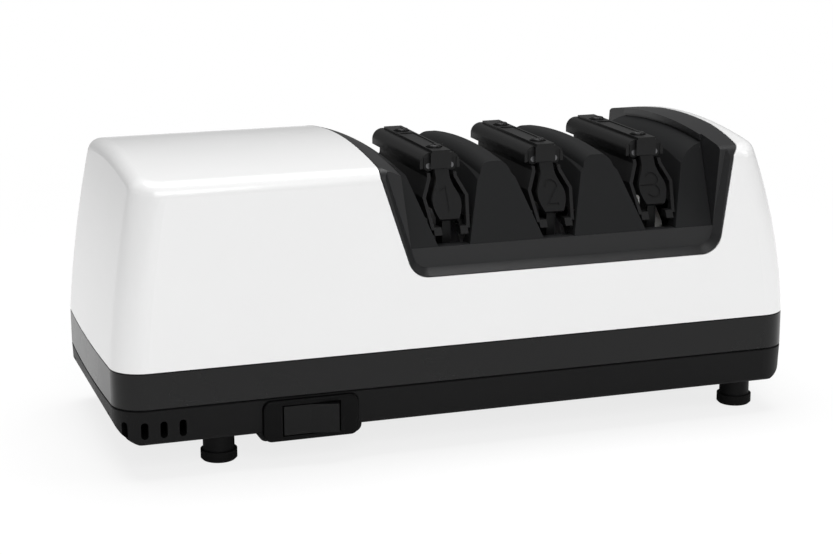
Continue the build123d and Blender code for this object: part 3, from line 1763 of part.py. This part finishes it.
def make_housing_screws():
    """Four long screws that close the pan, band and upper housing from below."""
    with BuildPart() as housing_screws:
        with BuildSketch(at_z(screw_seat - screw_head_height)):
            with Locations(*post_places()):
                Circle(screw_head_radius)
        extrude(amount=screw_head_height)
        with BuildSketch(at_z(screw_seat - 1)):
            with Locations(*post_places()):
                Circle(screw_radius - seat_gap)
        extrude(amount=seam_height + screw_bite - screw_seat + 1)
        with BuildSketch(at_z(screw_seat - screw_head_height)):
            with Locations(*post_places()):
                Rectangle(1.3 * screw_head_radius, 0.9)
                Rectangle(0.9, 1.3 * screw_head_radius)
        extrude(amount=screw_head_height / 2, mode=Mode.SUBTRACT)
    return housing_screws.part


# ---------------------------------------------------------------- build every piece
outside = body_form(0)
save(make_upper_housing(), "upper_housing")
save(make_base_band(), "base_band")
save(make_base_pan(), "base_pan")
save(make_slot_bezel(outside), "slot_bezel")
for number in range(stage_count + 1):
    save(make_angle_fin(number), "angle_fin_" + str(number + 1))
for stage in range(stage_count):
    label = str(stage + 1)
    save(make_guide_frame(stage), "guide_frame_" + label)
    save(make_knife_guide(stage), "knife_guide_" + label)
    save(make_spring(stage), "disk_spring_" + label)
    save(make_guide_arm(stage, -1), "guide_arm_" + label + "_left")
    save(make_guide_arm(stage, 1), "guide_arm_" + label + "_right")
    save(make_disk(stage, -1), "disk_" + label + "_left")
    save(make_disk(stage, 1), "disk_" + label + "_right")
save(make_guide_screws(), "guide_screws")
save(make_guide_pins(), "guide_pins")
save(make_drive_shaft(), "drive_shaft")
save(make_retaining_clips(), "retaining_clips")
save(make_rotor_core(), "rotor_core")
save(make_cooling_fan(), "cooling_fan")
save(make_motor_stator(), "motor_stator")
save(make_motor_winding(), "motor_winding")
save(make_motor_bracket(stator_left, -1), "motor_bracket_fan")
save(make_motor_bracket(stator_right, 1), "motor_bracket_drive")
save(make_bearing(fan_plate()), "bearing_fan")
save(make_bearing(drive_plate() - bearing_length), "bearing_drive")
save(make_bearing(outboard_bearing()), "bearing_outboard")
save(make_motor_bolts(), "motor_bolts")
save(make_mount_screws(), "mount_screws")
save(make_bearing_bracket(), "bearing_bracket")
save(make_dust_tray(), "dust_tray")
save(make_swarf_magnets(), "swarf_magnets")
save(make_cleanout_cover(), "cleanout_cover")
save(make_switch_bezel(), "switch_bezel")
save(make_switch_rocker(), "switch_rocker")
save(make_switch_body(), "switch_body")
save(make_cord_gland(), "cord_gland")
save(make_rubber_feet(), "rubber_feet")
save(make_housing_screws(), "housing_screws")
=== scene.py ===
"""Electric knife sharpener with three slotted stages, dressed for its portrait."""

import math

import bmesh
import bpy
from mathutils import Matrix, Vector


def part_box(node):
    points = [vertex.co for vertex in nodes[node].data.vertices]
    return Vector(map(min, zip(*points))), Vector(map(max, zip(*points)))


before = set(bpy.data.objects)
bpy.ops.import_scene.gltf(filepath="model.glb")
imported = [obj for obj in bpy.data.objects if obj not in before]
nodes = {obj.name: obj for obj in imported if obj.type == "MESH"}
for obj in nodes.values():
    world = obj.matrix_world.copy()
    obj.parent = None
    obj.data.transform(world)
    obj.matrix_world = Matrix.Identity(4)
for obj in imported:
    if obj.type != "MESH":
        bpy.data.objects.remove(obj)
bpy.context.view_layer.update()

# ---------------------------------------------------------------------------
# Camera. A long lens stands low in front of the left end and looks a little
# down on the body, so that the front, the left end and the top all show.
# ---------------------------------------------------------------------------
camera_turn = math.radians(-18.487)
camera_rise = math.radians(13.781)
camera_roll = math.radians(-0.235)
camera_distance = 0.7445
camera_aim = Vector((-0.00303, 0.0, 0.04987))

away = Vector((
    math.sin(camera_turn) * math.cos(camera_rise),
    -math.cos(camera_turn) * math.cos(camera_rise),
    math.sin(camera_rise),
))
level_right = Vector((0, 0, 1)).cross(away).normalized()
level_up = away.cross(level_right)
camera_right = level_right * math.cos(camera_roll) + level_up * math.sin(camera_roll)
camera_up = level_up * math.cos(camera_roll) - level_right * math.sin(camera_roll)
camera_data = bpy.data.cameras.new("portrait_camera")
camera_data.sensor_width = 36.0
camera_data.lens = 85.0
camera_data.clip_end = 20.0
camera = bpy.data.objects.new("portrait_camera", camera_data)
bpy.context.scene.collection.objects.link(camera)
turn = Matrix((camera_right, camera_up, away)).transposed().to_4x4()
camera.matrix_world = Matrix.Translation(camera_aim + away * camera_distance) @ turn
bpy.context.scene.camera = camera

# ---------------------------------------------------------------------------
# Studio. A broad lamp above, a large one over the front left and a weaker one
# from the right light the body evenly; the table fades into a white room.
# ---------------------------------------------------------------------------
floor_size = 6.0
floor_height = -0.0002
fade_start = 0.25
fade_end = 0.6
near_glow = 0.8
room_strength = 0.24
lamp_aim = (0, 0, 0.05)


def soft_lamp(name, place, width, height, power):
    """One rectangular studio lamp, aimed at the middle of the body."""
    data = bpy.data.lights.new(name, "AREA")
    data.shape = "RECTANGLE"
    data.size = width
    data.size_y = height
    data.energy = power
    lamp = bpy.data.objects.new(name, data)
    bpy.context.scene.collection.objects.link(lamp)
    lamp.location = place
    lamp.rotation_euler = (Vector(lamp_aim) - Vector(place)).to_track_quat("-Z", "Y").to_euler()


soft_lamp("front_lamp", (-0.25, -1.5, 0.95), width=1.2, height=0.8, power=13.2)
soft_lamp("right_lamp", (1.4, -0.6, 0.8), width=0.5, height=0.9, power=4.0)
soft_lamp("top_lamp", (0.0, 0.2, 1.5), width=1.3, height=0.8, power=20.0)

world = bpy.data.worlds.new("white_room")
bpy.context.scene.world = world
world.use_nodes = True
room = world.node_tree
room.nodes["Background"].inputs["Color"].default_value = (1, 1, 1, 1)
room.nodes["Background"].inputs["Strength"].default_value = room_strength
seen_room = room.nodes.new("ShaderNodeBackground")
seen_room.inputs["Color"].default_value = (1, 1, 1, 1)
seen_room.inputs["Strength"].default_value = 1.0
seen_by = room.nodes.new("ShaderNodeLightPath")
room_mix = room.nodes.new("ShaderNodeMixShader")
room.links.new(seen_by.outputs["Is Camera Ray"], room_mix.inputs["Fac"])
room.links.new(room.nodes["Background"].outputs[0], room_mix.inputs[1])
room.links.new(seen_room.outputs[0], room_mix.inputs[2])
room.links.new(room_mix.outputs[0], room.nodes["World Output"].inputs["Surface"])

table = bmesh.new()
bmesh.ops.create_grid(table, x_segments=1, y_segments=1, size=floor_size / 2)
bmesh.ops.translate(table, verts=table.verts, vec=(0, 0, floor_height))
table_mesh = bpy.data.meshes.new("studio_table")
table.to_mesh(table_mesh)
table.free()
studio_table = bpy.data.objects.new("studio_table", table_mesh)
bpy.context.scene.collection.objects.link(studio_table)
paper = bpy.data.materials.new("studio_paper")
paper.use_nodes = True
paper_tree = paper.node_tree
paper_face = paper_tree.nodes["Principled BSDF"]
paper_face.inputs["Base Color"].default_value = (0.9, 0.9, 0.9, 1)
paper_face.inputs["Roughness"].default_value = 0.9
paper_place = paper_tree.nodes.new("ShaderNodeTexCoord")
paper_reach = paper_tree.nodes.new("ShaderNodeVectorMath")
paper_reach.operation = "LENGTH"
paper_tree.links.new(paper_place.outputs["Object"], paper_reach.inputs[0])
paper_fade = paper_tree.nodes.new("ShaderNodeMapRange")
paper_fade.interpolation_type = "SMOOTHSTEP"
paper_fade.inputs["From Min"].default_value = fade_start
paper_fade.inputs["From Max"].default_value = fade_end
paper_fade.inputs["To Min"].default_value = near_glow
paper_tree.links.new(paper_reach.outputs["Value"], paper_fade.inputs["Value"])
paper_seen = paper_tree.nodes.new("ShaderNodeLightPath")
paper_share = paper_tree.nodes.new("ShaderNodeMath")
paper_share.operation = "MULTIPLY"
paper_tree.links.new(paper_fade.outputs["Result"], paper_share.inputs[0])
paper_tree.links.new(paper_seen.outputs["Is Camera Ray"], paper_share.inputs[1])
paper_light = paper_tree.nodes.new("ShaderNodeEmission")
paper_mix = paper_tree.nodes.new("ShaderNodeMixShader")
paper_tree.links.new(paper_share.outputs["Value"], paper_mix.inputs["Fac"])
paper_tree.links.new(paper_face.outputs[0], paper_mix.inputs[1])
paper_tree.links.new(paper_light.outputs[0], paper_mix.inputs[2])
paper_tree.links.new(paper_mix.outputs[0], paper_tree.nodes["Material Output"].inputs["Surface"])
studio_table.data.materials.append(paper)

# ---------------------------------------------------------------------------
# Base pan. Bottom tray of black glass-filled nylon, injection moulded, with
# the motor seats, posts, vents and leg stubs in one piece.
# The mould was lightly blasted, so its faces are matte and a little uneven.
# ---------------------------------------------------------------------------
cloud_scale = 35.0
scratch_turn = (0.4, 0.3, 0.5)
scratch_scale = (60.0, 2600.0, 2600.0)
scratch_low = 0.66
scratch_high = 0.8


def surface(name, color, roughness, grain, depth, tone=0.06, spread=0.06, metallic=0.0, specular=0.5):
    """A finish with fine grain, cloudy tone and gloss, and faint scratches; sizes in metres."""
    finish = bpy.data.materials.new(name)
    finish.use_nodes = True
    tree = finish.node_tree
    face = tree.nodes["Principled BSDF"]
    face.inputs["Metallic"].default_value = metallic
    face.inputs["Specular IOR Level"].default_value = specular
    place = tree.nodes.new("ShaderNodeTexCoord")
    cloud = tree.nodes.new("ShaderNodeTexNoise")
    cloud.inputs["Scale"].default_value = cloud_scale
    cloud.inputs["Detail"].default_value = 3.0
    speck = tree.nodes.new("ShaderNodeTexNoise")
    speck.inputs["Scale"].default_value = 1.0 / grain
    speck.inputs["Detail"].default_value = 4.0
    stretch = tree.nodes.new("ShaderNodeMapping")
    stretch.inputs["Rotation"].default_value = scratch_turn
    stretch.inputs["Scale"].default_value = scratch_scale
    scratch = tree.nodes.new("ShaderNodeTexNoise")
    scratch.inputs["Scale"].default_value = 1.0
    scratch.inputs["Detail"].default_value = 1.0
    tree.links.new(place.outputs["Object"], cloud.inputs["Vector"])
    tree.links.new(place.outputs["Object"], speck.inputs["Vector"])
    tree.links.new(place.outputs["Object"], stretch.inputs["Vector"])
    tree.links.new(stretch.outputs["Vector"], scratch.inputs["Vector"])
    shade = tree.nodes.new("ShaderNodeMapRange")
    shade.inputs["To Min"].default_value = 1.0 - tone
    shade.inputs["To Max"].default_value = 1.0 + tone
    tree.links.new(cloud.outputs["Fac"], shade.inputs["Value"])
    tint = tree.nodes.new("ShaderNodeVectorMath")
    tint.operation = "SCALE"
    tint.inputs[0].default_value = color
    tree.links.new(shade.outputs["Result"], tint.inputs["Scale"])
    tree.links.new(tint.outputs["Vector"], face.inputs["Base Color"])
    worn = tree.nodes.new("ShaderNodeMapRange")
    worn.inputs["From Min"].default_value = scratch_low
    worn.inputs["From Max"].default_value = scratch_high
    worn.inputs["To Max"].default_value = spread
    tree.links.new(scratch.outputs["Fac"], worn.inputs["Value"])
    sheen = tree.nodes.new("ShaderNodeMapRange")
    sheen.inputs["To Min"].default_value = roughness - spread
    sheen.inputs["To Max"].default_value = roughness + spread
    tree.links.new(cloud.outputs["Fac"], sheen.inputs["Value"])
    total = tree.nodes.new("ShaderNodeMath")
    total.operation = "ADD"
    tree.links.new(sheen.outputs["Result"], total.inputs[0])
    tree.links.new(worn.outputs["Result"], total.inputs[1])
    tree.links.new(total.outputs["Value"], face.inputs["Roughness"])
    bump = tree.nodes.new("ShaderNodeBump")
    bump.inputs["Distance"].default_value = depth
    tree.links.new(speck.outputs["Fac"], bump.inputs["Height"])
    tree.links.new(bump.outputs["Normal"], face.inputs["Normal"])
    return finish


def dress(finish, *names):
    """Give CAD nodes one finish."""
    for name in names:
        nodes[name].data.materials.clear()
        nodes[name].data.materials.append(finish)


pan_black_matte = surface(
    "pan_black_matte", (0.0032, 0.0032, 0.0034), roughness=0.5, grain=0.0005, depth=0.000022,
    tone=0.15, spread=0.07, specular=0.14,
)
dress(pan_black_matte, "base_pan")

# ---------------------------------------------------------------------------
# Rubber feet. Soft black pads pressed over the pan's legs; their rims are
# slightly dusty and wear smooth underneath.
# ---------------------------------------------------------------------------
soft_rubber = surface(
    "soft_rubber", (0.004, 0.004, 0.004), roughness=0.7, grain=0.0005, depth=0.00003, tone=0.15,
    spread=0.08, specular=0.12,
)
dress(soft_rubber, "rubber_feet")

# ---------------------------------------------------------------------------
# Clean-out cover. Moulded slide of the pan's own nylon in two rails under
# the tray, pulled back to let the steel dust out.
# ---------------------------------------------------------------------------
cover_black = surface(
    "cover_black", (0.006, 0.006, 0.0063), roughness=0.5, grain=0.0004, depth=0.00002, tone=0.1,
    specular=0.2,
)
dress(cover_black, "cleanout_cover")

# ---------------------------------------------------------------------------
# Dust tray. Grey polypropylene trough that keeps the steel dust away from
# the motor, screwed to the pan below the disks.
# ---------------------------------------------------------------------------
tray_grey = surface(
    "tray_grey", (0.11, 0.11, 0.115), roughness=0.5, grain=0.0006, depth=0.00002, tone=0.08,
)
dress(tray_grey, "dust_tray")

# ---------------------------------------------------------------------------
# Swarf magnets. Pressed and sintered ferrite blocks in the tray's pockets,
# ground on their faces and chalky to the touch.
# ---------------------------------------------------------------------------
ferrite = surface(
    "ferrite", (0.045, 0.045, 0.046), roughness=0.62, grain=0.0003, depth=0.00003, tone=0.15,
)
dress(ferrite, "swarf_magnets")

# ---------------------------------------------------------------------------
# Motor stator. Stacked silicon-steel sheets, stamped and clamped; the edges
# of the sheets show as fine lines around the pack.
# ---------------------------------------------------------------------------
stator_steel = surface(
    "stator_sheets", (0.24, 0.24, 0.255), roughness=0.45, grain=0.0004, depth=0.00001, tone=0.12,
    metallic=1.0,
)


def stacked(finish, sheet, depth):
    """Add the edges of stacked sheets along the shaft; sizes in metres."""
    tree = finish.node_tree
    place = tree.nodes.new("ShaderNodeTexCoord")
    along = tree.nodes.new("ShaderNodeSeparateXYZ")
    tree.links.new(place.outputs["Object"], along.inputs["Vector"])
    count = tree.nodes.new("ShaderNodeMath")
    count.operation = "MULTIPLY"
    count.inputs[1].default_value = 2 * math.pi / sheet
    tree.links.new(along.outputs["X"], count.inputs[0])
    wave = tree.nodes.new("ShaderNodeMath")
    wave.operation = "SINE"
    tree.links.new(count.outputs["Value"], wave.inputs[0])
    edge = tree.nodes.new("ShaderNodeBump")
    edge.inputs["Distance"].default_value = depth
    tree.links.new(wave.outputs["Value"], edge.inputs["Height"])
    tree.links.new(edge.outputs["Normal"], tree.nodes["Bump"].inputs["Normal"])
    return finish


dress(stacked(stator_steel, sheet=0.0005, depth=0.00004), "motor_stator")

# ---------------------------------------------------------------------------
# Motor winding. Enamelled copper wire wound in coils and varnished; the
# turns lie side by side as fine glossy ridges.
# ---------------------------------------------------------------------------
winding_copper = surface(
    "enamelled_copper", (0.62, 0.25, 0.1), roughness=0.3, grain=0.0006, depth=0.00004, tone=0.15,
    metallic=1.0,
)
dress(stacked(winding_copper, sheet=0.0008, depth=0.0001), "motor_winding")

# ---------------------------------------------------------------------------
# Motor brackets and bolts. Die-cast aluminium spiders at both ends of the
# stator, drawn together by four plated bolts through the pack.
# ---------------------------------------------------------------------------
cast_alloy = surface(
    "cast_alloy", (0.52, 0.52, 0.54), roughness=0.42, grain=0.0009, depth=0.00004, tone=0.08,
    metallic=1.0,
)
dress(cast_alloy, "motor_bracket_fan", "motor_bracket_drive")
bolt_zinc = surface(
    "bolt_zinc", (0.55, 0.55, 0.56), roughness=0.33, grain=0.0003, depth=0.000006, tone=0.08,
    metallic=1.0,
)
dress(bolt_zinc, "motor_bolts")

# ---------------------------------------------------------------------------
# Bearings. Oil-filled sintered bronze sleeves, seated in the brackets,
# porous and a little darker where the oil comes out.
# ---------------------------------------------------------------------------
sintered_bronze = surface(
    "sintered_bronze", (0.45, 0.29, 0.12), roughness=0.45, grain=0.00025, depth=0.00003, tone=0.15,
    metallic=1.0,
)
dress(sintered_bronze, "bearing_fan", "bearing_drive", "bearing_outboard")

# ---------------------------------------------------------------------------
# Outboard bracket. Cast aluminium stand, screwed to the pan, that carries the
# shaft's far end.
# ---------------------------------------------------------------------------
bracket_cast = surface(
    "bracket_cast", (0.5, 0.5, 0.52), roughness=0.44, grain=0.0009, depth=0.00004, tone=0.1,
    metallic=1.0,
)
dress(bracket_cast, "bearing_bracket")

# ---------------------------------------------------------------------------
# Rotor core. Steel laminations pressed on the shaft, turned to size
# on the outside, with a thin film of rust-proofing oil.
# ---------------------------------------------------------------------------
rotor_steel = surface(
    "rotor_sheets", (0.3, 0.3, 0.32), roughness=0.4, grain=0.0004, depth=0.00001, tone=0.1,
    metallic=1.0,
)
dress(stacked(rotor_steel, sheet=0.0005, depth=0.00003), "rotor_core")

# ---------------------------------------------------------------------------
# Drive shaft. Ground carbon steel bar with a long flat, running through
# the motor and under all three stages.
# ---------------------------------------------------------------------------
shaft_steel = surface(
    "shaft_steel", (0.68, 0.68, 0.7), roughness=0.18, grain=0.0002, depth=0.000003, tone=0.04,
    metallic=1.0,
)
dress(shaft_steel, "drive_shaft")

# ---------------------------------------------------------------------------
# Cooling fan. Moulded grey nylon wheel pressed on the shaft's end, which draws
# air in through the vents.
# ---------------------------------------------------------------------------
fan_grey = surface(
    "fan_grey", (0.13, 0.13, 0.135), roughness=0.5, grain=0.0005, depth=0.00002, tone=0.08,
)
dress(fan_grey, "cooling_fan")

# ---------------------------------------------------------------------------
# Coarse and fine disks. Pressed and turned steel cones with a bonded diamond
# coat, sliding on the shaft's flat; the grit leaves them dull.
# ---------------------------------------------------------------------------
bearing_low, bearing_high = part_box("bearing_drive")
shaft_height = (bearing_low.z + bearing_high.z) / 2


def turned(finish, pitch, depth):
    """Add lathe rings about the drive shaft's axis; sizes in metres."""
    tree = finish.node_tree
    place = tree.nodes.new("ShaderNodeTexCoord")
    move = tree.nodes.new("ShaderNodeMapping")
    move.inputs["Location"].default_value = (0, 0, -shaft_height)
    move.inputs["Scale"].default_value = (0, 1, 1)
    reach = tree.nodes.new("ShaderNodeVectorMath")
    reach.operation = "LENGTH"
    tree.links.new(place.outputs["Object"], move.inputs["Vector"])
    tree.links.new(move.outputs["Vector"], reach.inputs[0])
    ring = tree.nodes.new("ShaderNodeMath")
    ring.operation = "MULTIPLY"
    ring.inputs[1].default_value = 2 * math.pi / pitch
    tree.links.new(reach.outputs["Value"], ring.inputs[0])
    wave = tree.nodes.new("ShaderNodeMath")
    wave.operation = "SINE"
    tree.links.new(ring.outputs["Value"], wave.inputs[0])
    groove = tree.nodes.new("ShaderNodeBump")
    groove.inputs["Distance"].default_value = depth
    tree.links.new(wave.outputs["Value"], groove.inputs["Height"])
    grain = tree.nodes["Bump"]
    tree.links.new(groove.outputs["Normal"], grain.inputs["Normal"])
    return finish


coarse_coat = surface(
    "coarse_diamond", (0.34, 0.34, 0.35), roughness=0.42, grain=0.00025, depth=0.00005, tone=0.12,
    metallic=0.7,
)
dress(turned(coarse_coat, pitch=0.0006, depth=0.00001), "disk_1_left", "disk_1_right")
fine_coat = surface(
    "fine_diamond", (0.45, 0.45, 0.46), roughness=0.36, grain=0.0002, depth=0.00003, tone=0.1,
    metallic=0.7,
)
dress(turned(fine_coat, pitch=0.0006, depth=0.00001), "disk_2_left", "disk_2_right")

# ---------------------------------------------------------------------------
# Stropping disks. Pale flexible polymer with a very fine abrasive, moulded and
# turned; blades have left it smooth and slightly glossy.
# ---------------------------------------------------------------------------
strop_pale = surface(
    "strop_pale", (0.84, 0.83, 0.8), roughness=0.26, grain=0.0003, depth=0.00001, tone=0.05,
)
dress(turned(strop_pale, pitch=0.0004, depth=0.000004), "disk_3_left", "disk_3_right")

# ---------------------------------------------------------------------------
# Disk springs and clips. Music wire coils that hold each pair of disks apart,
# and stamped clips on the shaft that stop them outward.
# ---------------------------------------------------------------------------
spring_wire = surface(
    "spring_wire", (0.5, 0.5, 0.52), roughness=0.28, grain=0.0003, depth=0.000004, tone=0.05,
    metallic=1.0,
)
dress(spring_wire, *[f"disk_spring_{n}" for n in (1, 2, 3)])
clip_zinc = surface(
    "clip_zinc", (0.5, 0.5, 0.51), roughness=0.35, grain=0.0003, depth=0.000006, tone=0.08,
    metallic=1.0,
)
dress(clip_zinc, "retaining_clips")

# ---------------------------------------------------------------------------
# Power switch. Glossy black rocker in a snap-in body behind a raised bezel
# moulded in the same nylon as the pan.
# ---------------------------------------------------------------------------
switch_frame_black = surface(
    "switch_frame_black", (0.0022, 0.0022, 0.0023), roughness=0.42, grain=0.0005, depth=0.000012,
    tone=0.1, specular=0.08,
)
dress(switch_frame_black, "switch_bezel")
switch_body_black = surface(
    "switch_body_black", (0.02, 0.02, 0.02), roughness=0.45, grain=0.0005, depth=0.00001, tone=0.08,
)
dress(switch_body_black, "switch_body")
rocker_black = surface(
    "rocker_black", (0.0028, 0.0028, 0.0029), roughness=0.34, grain=0.0005, depth=0.000008,
    tone=0.1, specular=0.16,
)
dress(rocker_black, "switch_rocker")

# ---------------------------------------------------------------------------
# Cord inlet. Ribbed nylon gland snapped through the pan's back wall; its
# bore is left empty.
# ---------------------------------------------------------------------------
gland_black = surface(
    "gland_black", (0.012, 0.012, 0.012), roughness=0.45, grain=0.0005, depth=0.00001, tone=0.08,
)
dress(gland_black, "cord_gland")

# ---------------------------------------------------------------------------
# Base band. Smooth satin black belt between the pan and the shell, moulded
# in ABS; its front is left bare of lettering.
# ---------------------------------------------------------------------------
band_black_satin = surface(
    "band_black_satin", (0.005, 0.005, 0.0052), roughness=0.28, grain=0.0007, depth=0.000006,
    tone=0.08, spread=0.04, specular=0.24,
)
dress(band_black_satin, "base_band")

# ---------------------------------------------------------------------------
# Shell. White ABS cover with a pearl lacquer, sprayed and polished: a very
# fine grain under a clear coat, with a faintly uneven gloss.
# ---------------------------------------------------------------------------
pearl = surface(
    "shell_pearl_white", (0.8, 0.8, 0.8), roughness=0.3, grain=0.0012, depth=0.000005, tone=0.012,
    spread=0.03,
)
pearl_face = pearl.node_tree.nodes["Principled BSDF"]
pearl_face.inputs["Coat Weight"].default_value = 0.5
pearl_face.inputs["Coat Roughness"].default_value = 0.12
dress(pearl, "upper_housing")

# ---------------------------------------------------------------------------
# Slot bezel. Black ABS insert that lines the shell's window, with a rounded
# lip along both sides and a floor under the fins.
# ---------------------------------------------------------------------------
insert_black = surface(
    "insert_black", (0.011, 0.0112, 0.0118), roughness=0.4, grain=0.0005, depth=0.00001, tone=0.08,
    specular=0.3,
)
dress(insert_black, "slot_bezel")

# ---------------------------------------------------------------------------
# Angle fins. Four dark grey blade rests of glass-filled nylon, pegged to the
# insert; the mould was finely eroded, so they look flat and matte.
# ---------------------------------------------------------------------------
fin_grey = surface(
    "fin_dark_grey", (0.0094, 0.0097, 0.0101), roughness=0.5, grain=0.00045, depth=0.000018,
    tone=0.07, spread=0.05, specular=0.12,
)
dress(fin_grey, *[f"angle_fin_{n}" for n in (1, 2, 3, 4)])

# ---------------------------------------------------------------------------
# Guide frames. Black acetal bridges over each slot, with the stage digit
# sunk into the tab that hangs in front of the blade.
# ---------------------------------------------------------------------------
frame_black = surface(
    "frame_black", (0.0048, 0.0049, 0.0051), roughness=0.44, grain=0.0004, depth=0.000012,
    tone=0.08, specular=0.18,
)
dress(frame_black, *[f"guide_frame_{n}" for n in (1, 2, 3)])

# ---------------------------------------------------------------------------
# Guide arms and pins. Springy black wings that press the blade to the fins,
# hinged on plain steel pins through the frames.
# ---------------------------------------------------------------------------
arm_black = surface(
    "arm_black", (0.0075, 0.0075, 0.0078), roughness=0.42, grain=0.0004, depth=0.00001, tone=0.08,
    specular=0.2,
)
dress(arm_black, *[f"guide_arm_{n}_{side}" for n in (1, 2, 3) for side in ("left", "right")])
pin_steel = surface(
    "pin_steel", (0.14, 0.14, 0.145), roughness=0.35, grain=0.0003, depth=0.000004, tone=0.05,
    metallic=1.0,
)
dress(pin_steel, "guide_pins")

# ---------------------------------------------------------------------------
# Knife guides. Black caps screwed on the frames, slightly shiny on top from
# handling, with sunk heads of blackened screws.
# ---------------------------------------------------------------------------
cap_black = surface(
    "cap_black", (0.0055, 0.0055, 0.0057), roughness=0.36, grain=0.0005, depth=0.00001, tone=0.1,
    specular=0.22,
)
dress(cap_black, *[f"knife_guide_{n}" for n in (1, 2, 3)])
black_oxide = surface(
    "black_oxide", (0.015, 0.015, 0.0155), roughness=0.35, grain=0.0002, depth=0.000006, tone=0.1,
    metallic=0.6,
)
dress(black_oxide, "guide_screws")

# ---------------------------------------------------------------------------
# Body screws. Zinc-plated self-tappers that hold the shell to the pan and
# the brackets and tray to its floor.
# ---------------------------------------------------------------------------
screw_zinc = surface(
    "screw_zinc", (0.5, 0.5, 0.51), roughness=0.34, grain=0.0003, depth=0.000006, tone=0.1,
    metallic=1.0,
)
dress(screw_zinc, "mount_screws", "housing_screws")

# ---------------------------------------------------------------------------
# Finish.
bpy.context.scene.view_settings.view_transform = "Standard"
